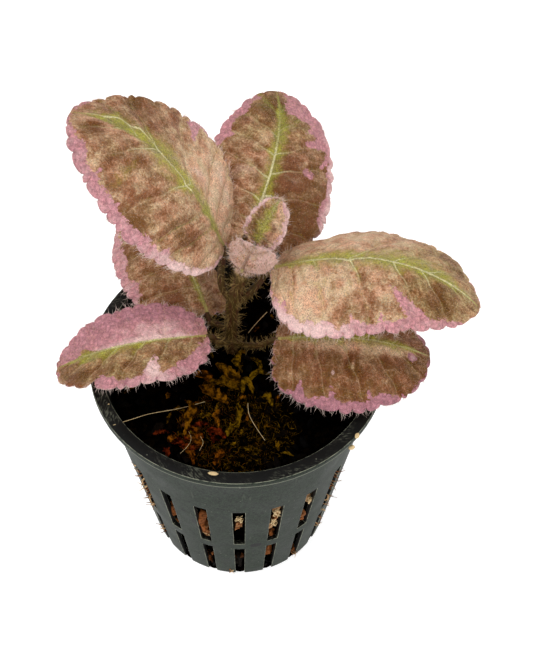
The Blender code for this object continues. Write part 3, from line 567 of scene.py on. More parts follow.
class HairSettings(bpy.types.PropertyGroup):
    """The hairs of the leaves, petioles and stem."""

    tint: colour("Hair", "The whitish hairs", 226, 202, 190)
    blade_tint: colour("Blade hair", "The short hairs on a blade's face", 210, 168, 134)
    stalk_tint: colour("Stalk hair", "The browner hairs of the stem and petioles", 172, 142, 84)
    margin_length: distance("Margin hairs", "The length of the hairs along a margin", 2.0)
    surface_length: distance("Surface hairs", "The length of the hairs on a blade", 0.75)
    stalk_length: distance("Stalk hairs", "The length of the hairs on petioles and stem", 1.8)
    spacing: distance("Spacing", "The gap between two hairs along a margin", 0.36)
    surface_hairs: count("Face hairs", "How many hairs stand on a grown blade", 4200)
    young_hairs: count("Young face hairs", "How many hairs stand on a young blade", 1500)
    stem_hairs: count("Stem hairs", "How many hairs stand on the stem", 430)


class StageSettings(bpy.types.PropertyGroup):
    """The floor and the light."""

    floor: colour("Floor", "The pale floor", 205, 205, 205)
    key: strength("Key light", "Power of the main light", 3.1)
    fill: strength("Fill light", "Power of the front light", 1.15)
    sky: strength("Sky", "Strength of the even light all round", 0.36)


def setting(name):
    return getattr(bpy.context.scene, "violet_" + name)


# Shader maths


class Value:
    """One output of a shader node, so that shader maths reads as an expression."""

    def __init__(self, shader, socket):
        self.shader = shader
        self.socket = socket

    def __add__(self, other):
        return self.shader.math("ADD", self, other)

    def __sub__(self, other):
        return self.shader.math("SUBTRACT", self, other)

    def __rsub__(self, other):
        return self.shader.math("SUBTRACT", other, self)

    def __mul__(self, other):
        return self.shader.math("MULTIPLY", self, other)

    __radd__ = __add__
    __rmul__ = __mul__


class Shader:
    """The node tree of one material that ends in a Principled shader."""

    def __init__(self, name):
        self.material = bpy.data.materials.new(name)
        self.material.use_nodes = True
        self.tree = self.material.node_tree
        self.tree.nodes.clear()

    def node(self, kind, settings=None, sockets=None, output=None):
        """Adds a node, its settings first and then its sockets by identifier. Gives the named
        output or the first."""
        node = self.tree.nodes.new("ShaderNode" + kind)
        for name, value in (settings or {}).items():
            if name == "stops":
                self.set_stops(node.color_ramp, value)
            else:
                setattr(node, name, value)
        inputs = {socket.identifier: socket for socket in node.inputs}
        for name, value in (sockets or {}).items():
            if isinstance(value, Value):
                self.tree.links.new(value.socket, inputs[name])
            else:
                inputs[name].default_value = value
        outputs = {socket.identifier: socket for socket in node.outputs}
        return Value(self, outputs[output or next(iter(outputs))]) if outputs else None

    def set_stops(self, ramp, stops):
        """Gives a colour ramp its stops, (place, colour) pairs."""
        while len(ramp.elements) < len(stops):
            ramp.elements.new(1)
        for element, (place, tint) in zip(ramp.elements, stops):
            element.position = place
            element.color = (*tint, 1)

    def math(self, operation, *values):
        names = ("Value", "Value_001", "Value_002")
        return self.node("Math", {"operation": operation}, dict(zip(names, values)))

    def vector_math(self, operation, *values, output=None):
        sockets = dict(zip(("Vector", "Vector_001", "Vector_002"), values))
        return self.node("VectorMath", {"operation": operation}, sockets, output)

    def attribute(self, name):
        return self.node("Attribute", {"attribute_name": name}, output="Fac")

    def place(self, stretch=(1, 1, 1)):
        """The point in the part's frame, stretched along each axis."""
        point = self.node("TexCoord", output="Object")
        return self.node("Mapping", sockets={"Vector": point, "Scale": stretch})

    def noise(self, size, detail=2.0, stretch=(1, 1, 1)):
        """Smooth noise about 0.5 whose lumps are this large."""
        sockets = {"Vector": self.place(stretch), "Scale": 1 / size, "Detail": detail}
        return self.node("TexNoise", None, sockets, "Fac")

    def ripple(self, size, detail, amount):
        """Smooth noise about 0, this strong."""
        return (self.noise(size, detail) - 0.5) * amount

    def cells(self, size, output="Distance"):
        sockets = {"Vector": self.place(), "Scale": 1 / size}
        return self.node("TexVoronoi", None, sockets, output)

    def edges(self, size):
        """How near a point is to the border between two cells, 0 on the border itself."""
        wobble = self.node("TexNoise", None, {"Vector": self.place(), "Scale": 1 / size}, "Color")
        moved = self.vector_math("MULTIPLY_ADD", wobble, (0.7 * size,) * 3, self.place())
        sockets = {"Vector": moved, "Scale": 1 / size}
        return self.node("TexVoronoi", {"feature": "DISTANCE_TO_EDGE"}, sockets)

    def cell_value(self, size):
        """A random number from 0 to 1 for each cell of this size."""
        return self.node("SeparateColor", None, {"Color": self.cells(size, "Color")}, "Red")

    def step(self, value, low, high):
        """0 at low and 1 at high, whichever is the larger, smooth between and flat beyond."""
        sockets = {"Value": value, "From Min": low, "From Max": high}
        return self.node("MapRange", {"interpolation_type": "SMOOTHSTEP"}, sockets, "Result")

    def part(self, vector, axis):
        """One coordinate of a vector."""
        return self.node("SeparateXYZ", None, {"Vector": vector}, axis)

    def mix(self, factor, first, second, blend="MIX"):
        """Colours are mixed here; a plain colour has three numbers."""
        sockets = {"Factor_Float": factor}
        for name, tint in (("A_Color", first), ("B_Color", second)):
            sockets[name] = tint if isinstance(tint, Value) else (*tint, 1)
        settings = {"data_type": "RGBA", "blend_type": blend}
        return self.node("Mix", settings, sockets, "Result_Color")

    def shaded(self, tint, amount):
        """A colour made lighter or darker by a number about 1."""
        grey = self.node("CombineColor", None, {"Red": amount, "Green": amount, "Blue": amount})
        return self.mix(1.0, tint, grey, "MULTIPLY")

    def bump(self, height, depth, strength=1.0):
        sockets = {"Height": height, "Distance": depth, "Strength": strength}
        return self.node("Bump", None, sockets)

    def finish(self, **sockets):
        """Ends in a Principled shader with these sockets, whose names have _ for a space."""
        named = {name.replace("_", " "): value for name, value in sockets.items()}
        surface = self.node("BsdfPrincipled", None, named)
        self.node("OutputMaterial", None, {"Surface": surface})
        return self.material


# The finishes

# The blade's field is shaded towards these
ROSY = (1.0, 0.82, 0.8)
OLIVE = (0.88, 0.97, 0.78)


def leaf_finish():
    """A hairy, quilted blade: tan and brown, flushed green by the midrib, with a pink margin."""
    look = setting("leaf")
    s = Shader("hairy_leaf")
    reach = s.attribute("reach")
    phase = s.attribute("vein_phase")
    white = s.attribute("white")
    cell = s.cell_value(0.9 * MM)
    fine = s.noise(0.5 * MM, 3)
    grit = s.noise(0.24 * MM, 2)
    cloud = s.noise(3.6 * MM, 6)
    warm = s.noise(3.2 * MM, 4)
    finest = s.step(s.edges(0.85 * MM), 0.16, 0.02)
    net = s.step(s.edges(2.3 * MM) + (fine - 0.5) * 0.1, 0.09, 0.01)

    near = s.math("PINGPONG", phase, 0.5) * s.attribute("vein_step")
    beyond = s.math("FRACT", phase)
    line = s.step(near + reach * 0.1 + (fine - 0.5) * 0.25, 0.32, 0.12) * s.step(reach, 0.97, 0.8)
    # Painted shade: darker just beyond each side vein, towards the tip, as in a crease
    shade = s.step(beyond, 0.32, 0.03) * s.step(beyond, 0.0, 0.05) * s.step(reach, 0.05, 0.3)
    shade = shade * s.step(warm, 0.35, 0.6)

    # Streaks run along the side veins, and differ in the two halves
    half = s.step(s.attribute("rib_gap"), -0.02, 0.02)
    along_vein = s.node("CombineXYZ", None, {"X": phase * 5.0, "Y": reach * 3.6 + half * 9.0})
    streak = s.node("TexNoise", None, {"Vector": along_vein, "Detail": 4.0, "Scale": 1.0}, "Fac")
    tone = (cloud - 0.5) * 0.8 + (streak - 0.5) * 0.6 + s.attribute("brown") * 0.4
    tone = tone + shade * 0.16 + 0.57
    tone = tone - finest * 0.05 - net * 0.08
    tone = tone + (fine - 0.5) * 0.5 + (grit - 0.5) * 1.2 + (cell - 0.5) * 0.12
    stops = ((0.3, look.light), (0.46, look.tan), (0.62, look.brown), (0.9, look.dark))
    field = s.node("ValToRGB", {"stops": stops}, {"Fac": tone}, "Color")
    field = s.mix(s.step(warm, 0.42, 0.62), field, ROSY, "MULTIPLY")
    field = s.mix(s.step(warm, 0.46, 0.3) * 0.45, field, OLIVE, "MULTIPLY")
    field = s.mix(s.step(s.attribute("red"), -0.05, -0.6) * 0.9, field, OLIVE, "MULTIPLY")
    red = s.attribute("red") + s.ripple(1.1 * MM, 3, 1.3) + shade * 0.15
    field = s.mix(s.step(red, 0.3, 0.85) * 0.75, field, look.red_brown)
    green = s.attribute("green") + s.ripple(1.8 * MM, 3, 0.8)
    green = green + s.step(near, 1.3, 0.2) * 0.3 - 0.12
    green_tint = s.shaded(look.green, (cloud - 0.5) * 2.4 + finest * 0.12 + 0.95)
    field = s.mix(s.step(green, 0.05, 1.05) * 0.82, field, green_tint)

    margin = s.mix(s.attribute("mauve") + (fine - 0.5) * 0.9, look.pink, look.mauve)
    # Painted shade: the margin darkens along the narrow hollows between its small beads
    painted_bead_shade = s.step(s.edges(1.4 * MM), 0.0, 0.3)
    margin = s.shaded(margin, s.ripple(1.3 * MM, 3, 0.9) + painted_bead_shade * 0.3 + 0.78)
    pale = s.attribute("pale") + s.ripple(2.2 * MM, 3, 0.9)
    margin = s.mix(s.step(pale, 0.0, 0.95), margin, look.pale_pink)
    # Painted shade: a darker pink in the notches between the margin's lobes
    notch = s.attribute("notch") + (fine - 0.5) * 0.5
    margin = s.mix(s.step(notch, 0.35, 1.0) * 0.55, margin, look.notch)
    field = s.mix(s.step(pale, 0.3, 1.2) * 0.5, field, look.pale_pink)
    jag = (cell - 0.5) * 0.9 + (fine - 0.5) * 1.4 + s.ripple(3 * MM, 2, 1.2)
    rosy = s.step(s.attribute("pink") + jag, -0.12, 0.12)
    blade = s.mix(rosy, field, margin)

    line = line * (1 - rosy * 0.75)
    blade = s.mix(line * s.step(reach, 0.45, 0.0) * white * 0.75, blade, look.rib)
    olive = s.step(white, 0.28, 0.1)
    vein = s.mix(olive, look.light, s.shaded(look.shaded_rib, 0.45))
    blade = s.mix(line * s.step(reach, 0.1, 0.4) * (olive * 0.36 + 0.14), blade, vein)
    gap = s.math("ABSOLUTE", s.attribute("rib_gap")) + (fine - 0.5) * 0.25
    rib = s.mix(s.step(white, 0.1, 0.6), look.shaded_rib, look.rib)
    blade = s.mix(s.step(gap, 0.42, 0.16) * 0.85, blade, rib)
    faded = s.noise(1.6 * MM, 4)
    under = s.mix(s.step(faded, 0.42, 0.6), look.under, look.light)
    under = s.mix(line * 0.5, under, look.pale_pink)
    under_rib = s.mix(s.step(white, 0.02, 0.2), look.dark_rib, look.pale_pink)
    under = s.mix(rosy * 0.6, under, look.pale_pink)
    under = s.mix(s.step(gap, 0.6, 0.15) * 0.85, under, under_rib)
    blade = s.mix(s.attribute("under") * 0.85, blade, under)
    # Pale dots: partly the hairs' pale bases, partly painted highlights on the small bumps
    dots = s.step(s.cells(0.36 * MM), 0.35, 0.1)
    grit_share = 2.9 - rosy * 1.7 - s.attribute("under") * 0.9
    grain = (cell - 0.5) * 0.12 + (grit - 0.5) * grit_share + dots * 0.2 + 0.9
    grain = grain + s.ripple(0.75 * MM, 2, 0.5)
    puff = s.step(s.cells(0.6 * MM), 0.75, 0.0) + s.step(s.edges(2.4 * MM), 0.0, 0.3) * 0.8
    relief = s.bump(puff - line * 0.4 + grit + streak * 2.5, 0.22 * MM, 0.9)
    return s.finish(
        Base_Color=s.shaded(blade, grain), Roughness=fine * 0.2 + 0.6, Normal=relief,
        Sheen_Weight=0.06, Sheen_Roughness=0.4, Specular_IOR_Level=0.2,
    )


def stalk_finish():
    """Olive green stem and petioles with redder streaks."""
    look = setting("leaf")
    s = Shader("hairy_stalk")
    streak = s.noise(1.2 * MM, 3, (1, 1, 0.25))
    tint = s.mix(s.step(streak, 0.4, 0.65), look.stalk, look.red_stalk)
    grain = s.noise(0.3 * MM, 2) * 1.2 + 0.4
    relief = s.bump(s.cells(0.4 * MM), 0.1 * MM, 0.6)
    return s.finish(
        Base_Color=s.shaded(tint, grain), Roughness=streak * 0.2 + 0.55, Normal=relief,
        Specular_IOR_Level=0.2,
    )


def hair_finish(name, tint, **sockets):
    """Hairs in one of the hairs' colours. A hair is thinner than any texture, so it is plain."""
    return Shader(name).finish(Base_Color=(*getattr(setting("hair"), tint), 1), **sockets)


def pot_finish():
    """Thin black plastic with a scuffed rim, specks and marks. The wall's grey-green is painted
    reflection of the pale floor, and pale lines along the edges are painted highlights.
    """
    look = setting("pot")
    s = Shader("pot_plastic")
    normal = s.node("NewGeometry", output="Normal")
    up = s.part(normal, "Z")
    place = s.place()
    height = s.part(place, "Z")
    turn = s.math("ARCTAN2", s.part(place, "X"), s.part(place, "Y"))
    across = s.node("CombineXYZ", None, {"X": s.part(place, "X"), "Y": s.part(place, "Y")})
    radius = s.vector_math("LENGTH", across, output="Value")
    outward = s.vector_math("DOT_PRODUCT", normal, across, output="Value")
    # Painted reflection: outward faces get the wall colour, faces up or inwards stay near-black
    on_wall = s.step(outward * (1 / BODY_TOP_RADIUS), 0.3, 0.5) * s.step(up, 0.85, 0.4)
    cloud = s.noise(9 * MM, 5)
    fine = s.noise(0.4 * MM, 3)
    grit = s.noise(1.1 * MM, 4)
    wall = s.shaded(look.wall, cloud * 0.6 + (fine - 0.5) * 4.0 + (grit - 0.5) * 2.0 + 0.66)
    collar_low = POT_HEIGHT - COLLAR_HEIGHT
    # Painted highlight: a pale line along the collar's rounded lower edge
    edge = s.step(height, collar_low + 0.4 * MM, collar_low + 0.2 * MM)
    edge = edge * s.step(radius, RIM_RADIUS - 0.4 * MM, RIM_RADIUS - 0.2 * MM)
    wall = s.mix(edge * 0.75, wall, look.dust_and_highlight)
    slant = radius * 2500.0 + turn * 60.0
    strokes = s.node("CombineXYZ", None, {"X": turn * 40.0, "Y": slant, "Z": height * 900.0})
    strokes = s.node("TexNoise", None, {"Vector": strokes, "Scale": 1.0, "Detail": 3.0}, "Fac")
    scuffed = s.step(strokes, 0.48, 0.66) * s.step(cloud, 0.46, 0.62) * s.step(up, 0.5, 0.8)
    rim = s.mix(scuffed * 0.32, look.rim, look.dust_and_highlight)
    tint = s.mix(on_wall, rim, wall)
    specks = s.step(s.cells(1.6 * MM), 0.14, 0.07) * s.step(s.cell_value(1.6 * MM), 0.8, 0.85)
    scratch = s.step(s.noise(1.1 * MM, 2, (1, 1, 0.08)), 0.66, 0.72) * s.step(cloud, 0.45, 0.6)
    tint = s.mix(specks * 0.5 + scratch * 0.1, tint, look.dust_and_highlight)
    pits = s.step(s.cells(2.3 * MM), 0.12, 0.06) * s.step(s.cell_value(2.3 * MM), 0.75, 0.8)
    tint = s.mix(pits * 0.6, tint, look.rim)
    for angle, low, wide, tall in POT_MARKS:
        aside = (turn - angle) * (wall_radius(low * MM) / (wide * MM))
        above = (height - low * MM) * (1 / (tall * MM))
        gap = aside * aside + above * above
        tint = s.mix(s.step(gap, 1.2, 0.7), tint, look.rim)
    return s.finish(
        Base_Color=tint, Roughness=cloud * 0.3 + 0.4, Normal=s.bump(fine, 0.04 * MM, 0.6),
        Specular_IOR_Level=0.12,
    )


def edge_highlight_finish():
    """Painted highlights along the plastic's rounded edges, paler than the wall."""
    look = setting("pot")
    s = Shader("worn_edge")
    tint = s.mix(s.step(s.noise(1.5 * MM, 3), 0.3, 0.6), look.wall, look.dust_and_highlight)
    return s.finish(Base_Color=tint, Roughness=0.55, Specular_IOR_Level=0.2)


def soil_finish():
    """Wet, crumbly, near-black mix with brown flecks. Its near-black is partly its own colour
    and partly painted shade from the leaves above.
    """
    look = setting("medium")
    s = Shader("growing_mix")
    crumb = s.cell_value(1.1 * MM)
    tint = s.mix(s.step(crumb, 0.6, 0.95), look.soil, look.bark)
    tint = s.shaded(tint, s.noise(0.6 * MM, 3) * 1.2 + 0.25)
    relief = s.bump(s.cells(0.7 * MM) + s.noise(0.3 * MM, 2), 0.4 * MM, 0.8)
    rough = s.noise(1.4 * MM) * 0.5 + 0.35
    return s.finish(Base_Color=tint, Roughness=rough, Normal=relief, Specular_IOR_Level=0.0)


def bark_finish():
    """Bark in chips: each has its own tone, from near black through fresh red to pale."""
    look = setting("medium")
    s = Shader("bark")
    tone = s.attribute("tone")
    grain = s.noise(0.8 * MM, 4, (1, 0.3, 1))
    tint = s.mix(s.step(tone, 0.2, 0.7), look.soil, look.bark)
    tint = s.mix(s.step(tone, 0.75, 1.0), tint, look.red_bark)
    tint = s.mix(s.step(tone, 1.2, 2.0), tint, look.pale_bark)
    cracks = s.step(s.noise(0.9 * MM, 4), 0.52, 0.36)
    tint = s.mix(cracks * 0.6, tint, look.soil)
    return s.finish(
        Base_Color=s.shaded(tint, grain * 1.1 + 0.45), Roughness=grain * 0.3 + 0.45,
        Normal=s.bump(grain, 0.3 * MM, 0.8), Specular_IOR_Level=0.02,
    )


def moss_finish():
    """Olive moss, orange-brown to red where it has dried, with darker threads among it. Light and
    shade are painted on in patches, and the threads are darkened with painted shade.
    """
    look = setting("medium")
    s = Shader("moss")
    tint = s.mix(s.step(s.attribute("tone"), 0.2, 0.9), look.moss, look.dry_moss)
    tint = s.mix(s.step(s.attribute("tone"), 1.1, 1.5), tint, look.red_moss)
    grain = s.noise(0.5 * MM, 3)
    # Painted light and shade: lit patches, and threads of the lowest tones darkened as shaded
    lit = s.step(s.noise(1.3 * MM, 3), 0.38, 0.64) * 1.3 + 0.1
    lit = lit * (s.step(s.attribute("tone"), -0.9, 0.1) * 0.9 + 0.1)
    return s.finish(
        Base_Color=s.shaded(tint, (grain * 2.4 - 0.25) * lit), Roughness=grain * 0.3 + 0.45,
        Normal=s.bump(grain, 0.3 * MM, 1.0), Specular_IOR_Level=0.0,
    )


def fibre_finish():
    """Pale loose fibres, roots and seeds."""
    look = setting("medium")
    s = Shader("pale_fibre")
    grain = s.noise(0.6 * MM, 3)
    tint = s.shaded(look.fibre, grain * 0.7 + 0.6)
    return s.finish(Base_Color=tint, Roughness=grain * 0.3 + 0.5, Normal=s.bump(grain, 0.05 * MM))


def floor_finish():
    """A pale studio floor that stays almost white."""
    s = Shader("studio_floor")
    cloud = s.noise(60 * MM, 2) * 0.01 + 0.99
    tint = s.shaded(setting("stage").floor, cloud)
    return s.finish(
        Base_Color=tint, Roughness=0.9, Emission_Color=(1, 1, 1, 1), Emission_Strength=0.72
    )


FINISHES = {
    "leaf": leaf_finish,
    "stalk": stalk_finish,
    "hair": partial(hair_finish, "whitish_hair", "tint", Roughness=0.55, Sheen_Weight=0.2),
    "blade_hair": partial(
        hair_finish, "pale_tan_hair", "blade_tint", Roughness=0.55, Specular_IOR_Level=0.2
    ),
    "stalk_hair": partial(
        hair_finish, "tan_hair", "stalk_tint", Roughness=0.5, Specular_IOR_Level=0.3
    ),
    "pot": pot_finish, "highlit": edge_highlight_finish, "soil": soil_finish, "bark": bark_finish,
    "moss": moss_finish, "fibre": fibre_finish, "floor": floor_finish,
}


@cache
def finish_of(name):
    """The finish of that name, made once."""
    return FINISHES[name]()


# Meshes


class Piece:
    """The points, faces and marks of one piece, gathered part by part."""

    def __init__(self):
        self.points = []
        self.faces = []
        self.marks = {}
        self.size = 0

    def add(self, points, faces, **marks):
        """Adds a part. Its faces index its own points; a mark is a number for each point."""
        self.faces.append(np.asarray(faces, int) + self.size)
        points = np.asarray(points, float).reshape(-1, 3)
        for name in set(marks) | set(self.marks):
            column = self.marks.setdefault(name, [np.zeros(self.size)])
            column.append(np.broadcast_to(marks.get(name, 0.0), len(points)))
        self.points.append(points)
        self.size += len(points)

    def count_faces(self):
        return sum(len(group) for group in self.faces)

    def build(self, name, finishes, slot, replaces=(), smooth=True):
        """Makes the object, which rides on the one body."""
        faces = [face for group in self.faces for face in group.tolist()]
        mesh = new_mesh(name, np.concatenate(self.points), faces, smooth)
        for mark, columns in self.marks.items():
            layer = mesh.attributes.new(mark, "FLOAT", "POINT")
            layer.data.foreach_set("value", np.concatenate(columns).astype(np.float32))
        mesh.update()
        return placed(linked(name, mesh), finishes, replaces)


def new_mesh(name, points, faces, smooth=True):
    mesh = bpy.data.meshes.new(name)
    mesh.from_pydata(points.tolist(), [], faces)
    mesh.polygons.foreach_set("use_smooth", [smooth] * len(mesh.polygons))
    return mesh


def linked(name, data):
    """A new object in the scene, which holds this mesh, light or camera."""
    obj = bpy.data.objects.new(name, data)
    bpy.context.scene.collection.objects.link(obj)
    return obj


def placed(obj, finishes, replaces=()):
    """Gives an object its finishes and lets it ride on the one body."""
    obj.data.materials.clear()
    for name in finishes:
        obj.data.materials.append(finish_of(name))
    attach(obj, BODY)
    if replaces:
        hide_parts(*replaces)
    return obj


def paint_faces(obj, start, end, finish):
    """Gives a run of an object's faces the finish of this number."""
    for polygon in obj.data.polygons[start:end]:
        polygon.material_index = finish


def grid_quads(index, closed=False):
    """The faces between the rows of a grid of point numbers, whose last column meets its first
    if it is closed."""
    if closed:
        index = np.hstack([index, index[:, :1]])
    corners = index[:-1, :-1], index[:-1, 1:], index[1:, 1:], index[1:, :-1]
    return np.stack(corners, -1).reshape(-1, 4)


def unit(vectors):
    return vectors / np.maximum(np.linalg.norm(vectors, axis=-1, keepdims=True), 1e-12)


def metres(place, radius):
    """A point of a tube's path, (x, y, z, radius), from millimetres."""
    return (*(np.array(place) * MM), radius * MM)


def runs_along(points):
    """How far along a line each of its points lies."""
    steps = np.linalg.norm(np.diff(points, axis=0), axis=1)
    return np.concatenate([[0], np.cumsum(steps)])


def between(at, runs, rows):
    """The values of the rows at these distances along their line."""
    return np.stack([np.interp(at, runs, column) for column in rows.T], -1)


def ramp(values, start, span):
    """0 below the start and 1 from a span above it, straight between."""
    return np.clip((values - start) / span, 0, 1)


def smooth_path(points, steps):
    """Points on a smooth curve through the given ones, with this many steps between two."""
    points = np.asarray(points, float)
    before = np.vstack([points[:1], points[:-1]])
    after = np.vstack([points[1:], points[-1:]])
    slopes = (after - before) / 2
    path = []
    for i in range(len(points) - 1):
        for t in np.arange(steps) / steps:
            path.append(
                points[i] * (2 * t**3 - 3 * t**2 + 1)
                + slopes[i] * (t**3 - 2 * t**2 + t)
                + points[i + 1] * (3 * t**2 - 2 * t**3)
                + slopes[i + 1] * (t**3 - t**2)
            )
    path.append(points[-1])
    return np.array(path)


def add_tube(piece, path, sides, flat, bumps, **marks):
    """Adds a closed tube along rows of (x, y, z, radius). flat squeezes it across, and bumps
    roughens it by that share of its radius."""
    path = np.asarray(path, float)
    places, radii = path[:, :3], path[:, 3]
    ways = unit(np.gradient(places, axis=0))
    side = unit(np.cross(ways[0], (0.31, 0.2, 0.93)))
    turns = 2 * np.pi * np.arange(sides) / sides
    rings = []
    for i, way in enumerate(ways):
        side = unit(side - way * (side @ way))
        other = np.cross(way, side)
        radius = radii[i] * (1 + bumps * np.sin(turns * 3 + i * 1.7) * np.sin(i * 2.3))
        circle = np.cos(turns)[:, None] * side + flat * np.sin(turns)[:, None] * other
        rings.append(places[i] + circle * radius[:, None])
    index = np.arange(len(rings) * sides).reshape(-1, sides)
    foot, tip = index.size, index.size + 1
    caps = []
    for k in range(sides):
        after = (k + 1) % sides
        caps.append((after, k, foot))
        caps.append((index[-1, k], index[-1, after], tip))
    before = piece.size
    points = np.concatenate(rings + [places[:1], places[-1:]])
    piece.add(points, grid_quads(index, True), **marks)
    piece.faces.append(np.array(caps) + before)


def add_hairs(piece, rng, roots, ways, lengths, radius, bend, joints=1, **marks):
    """Adds closed, three-sided hairs that taper to a point and bend sideways. A mark here is a
    number for each hair."""
    total = len(roots)
    ways = unit(ways)
    helper = unit(rng.normal(size=(total, 3)))
    side = unit(np.cross(ways, helper))
    other = np.cross(ways, side)
    rings = []
    for step in range(joints):
        share = step / joints
        centre = roots + ways * (lengths * share)[:, None]
        centre = centre + side * (lengths * bend * share**2)[:, None]
        size = radius * (1 - 0.6 * share)
        for turn in range(3):
            angle = 2 * math.pi * turn / 3
            rings.append(centre + size * (math.cos(angle) * side + math.sin(angle) * other))
    tip = roots + ways * lengths[:, None] + side * (lengths * bend)[:, None]
    points = np.stack(rings + [tip], 1)
    size = points.shape[1]
    starts = np.arange(total)[:, None, None] * size
    index = np.arange(3 * joints).reshape(joints, 3)
    top = index[-1]
    caps = [(2, 1, 0)] + [(top[k], top[(k + 1) % 3], size - 1) for k in range(3)]
    before = piece.size
    marks = {name: np.repeat(values, size) for name, values in marks.items()}
    piece.add(points.reshape(-1, 3), (starts + np.array(caps)).reshape(-1, 3), **marks)
    if joints > 1:
        piece.faces.append((starts + grid_quads(index, True)).reshape(-1, 4) + before)


# The leaves


class Blade:
    """The surface of one leaf: a midrib that rises and droops, and two halves that fold and curl.
    It is the packed model's own surface, worked out for many points at once."""

    STEPS = 120  # along the midrib
    WIDEST_BACK = 0.07  # how far the widest place lies behind the middle
    LOBE_AT = 0.55  # where along the outline's turn the basal lobe swells, and how broadly
    LOBE_BREADTH = 0.45
    OUTLINE_SAMPLES = 400
    EDGE_STEPS = 200
    VEIN_SLANT = 1.15  # above 1, rows slant forwards more towards the tip

    def __init__(self, leaf):
        self.leaf = leaf
        middles = (np.arange(self.STEPS) + 0.5) / self.STEPS
        steps = self.frame(middles)[0] * leaf.length * MM / self.STEPS
        base = np.array(leaf.base) * MM
        self.places = np.vstack([base, base + np.cumsum(steps, axis=0)])
        self.edges = [self.even_edge(side) for side in (0, 1)]

    def frame(self, along):
        """The midrib's direction, the way to the left margin and the upper face's normal."""
        leaf = self.leaf
        share = np.clip(along, 0, 1)
        azimuth = np.radians(leaf.azimuth + leaf.sweep * share)
        pitch = np.radians(leaf.rise - leaf.droop * share**1.5)
        level = np.cos(pitch)
        tangent = np.stack([level * np.cos(azimuth), level * np.sin(azimuth), np.sin(pitch)], -1)
        left = np.stack([-np.sin(azimuth), np.cos(azimuth), 0 * azimuth], -1)
        up = np.cross(tangent, left)
        roll = math.radians(leaf.roll)
        rolled = left * math.cos(roll) + up * math.sin(roll)
        return tangent, rolled, up * math.cos(roll) - left * math.sin(roll)

    def midrib(self, along):
        step = np.clip(along, 0, 1) * self.STEPS
        low = np.minimum(step.astype(int), self.STEPS - 1)
        share = (step - low)[..., None]
        place = self.places[low] * (1 - share) + self.places[low + 1] * share
        back = np.minimum(along, 0)[..., None] * self.leaf.length * MM
        return place + back * self.frame(np.array([0.0]))[0][0]

    def outline(self, turn, side):
        """One half's plain outline for turn from 0 at the base to pi at the tip, as shares of the
        length and of the half width."""
        leaf = self.leaf
        along = 0.5 - 0.5 * np.cos(turn)
        out = np.maximum(np.sin(turn), 0) ** leaf.fullness
        out = out * (1 + leaf.taper[side] * (2 * along - 1))
        along = along - self.WIDEST_BACK * np.sin(turn) ** 2
        swell = np.exp(-(((turn - self.LOBE_AT) / self.LOBE_BREADTH) ** 2))
        return along - leaf.lobe * swell * np.sin(turn), out

    def even_edge(self, side):
        """Turns that are evenly spaced along the margin, from base to tip."""
        leaf = self.leaf
        turns = np.linspace(0, np.pi, self.OUTLINE_SAMPLES + 1)
        along, out = self.outline(turns, side)
        steps = np.hypot(np.diff(along) * leaf.length, np.diff(out) * leaf.width[side])
        lengths = np.concatenate([[0], np.cumsum(steps)])
        return np.interp(np.linspace(0, lengths[-1], self.EDGE_STEPS + 1), lengths, turns)

    def surface(self, along, out, side, lift=0.0):
        """The point at a share of the length and of the half width, lifted off the upper face."""
        leaf = self.leaf
        _, left, normal = self.frame(along)
        width = leaf.width[side] * MM
        fold = math.radians(leaf.fold[side])
        curl = math.radians(leaf.curl[side]) or 1e-6
        slope = fold + curl * out
        across = (np.sin(slope) - math.sin(fold)) / curl * width - lift * np.sin(slope)
        up = (math.cos(fold) - np.cos(slope)) / curl * width + lift * np.cos(slope)
        outward = left if side == 0 else -left
        return self.midrib(along) + outward * across[..., None] + normal * up[..., None]

    def spot(self, side, row, reach, tooth=0.0):
        """Where a row and reach lie, as shares of the length and of the half width. A tooth is
        how far the margin stands out there."""
        turn = np.interp(row * self.EDGE_STEPS, np.arange(self.EDGE_STEPS + 1), self.edges[side])
        edge_along, edge_out = self.outline(turn, side)
        leaf = self.leaf
        out_x = (edge_along - 0.45) * leaf.length
        out_y = edge_out * leaf.width[side]
        size = np.maximum(np.hypot(out_x, out_y), 1e-6)
        rib_along = row**self.VEIN_SLANT
        along = rib_along + (edge_along - rib_along) * reach
        along = along + tooth * out_x / size / (leaf.length * MM)
        out = edge_out * reach + tooth * out_y / size / (leaf.width[side] * MM)
        return along, out

    def flat(self, side, row, reach):
        """The place on the flattened blade, in millimetres, with the left half above 0."""
        along, out = self.spot(side, np.asarray(row, float), np.asarray(reach, float))
        sign = 1 if side == 0 else -1
        return np.stack([along * self.leaf.length, sign * out * self.leaf.width[side]], -1)


def line_value(line, rows):
    """The height of a line of (row, value) points at each row."""
    points = np.array(line)
    return np.interp(rows, points[:, 0], points[:, 1])


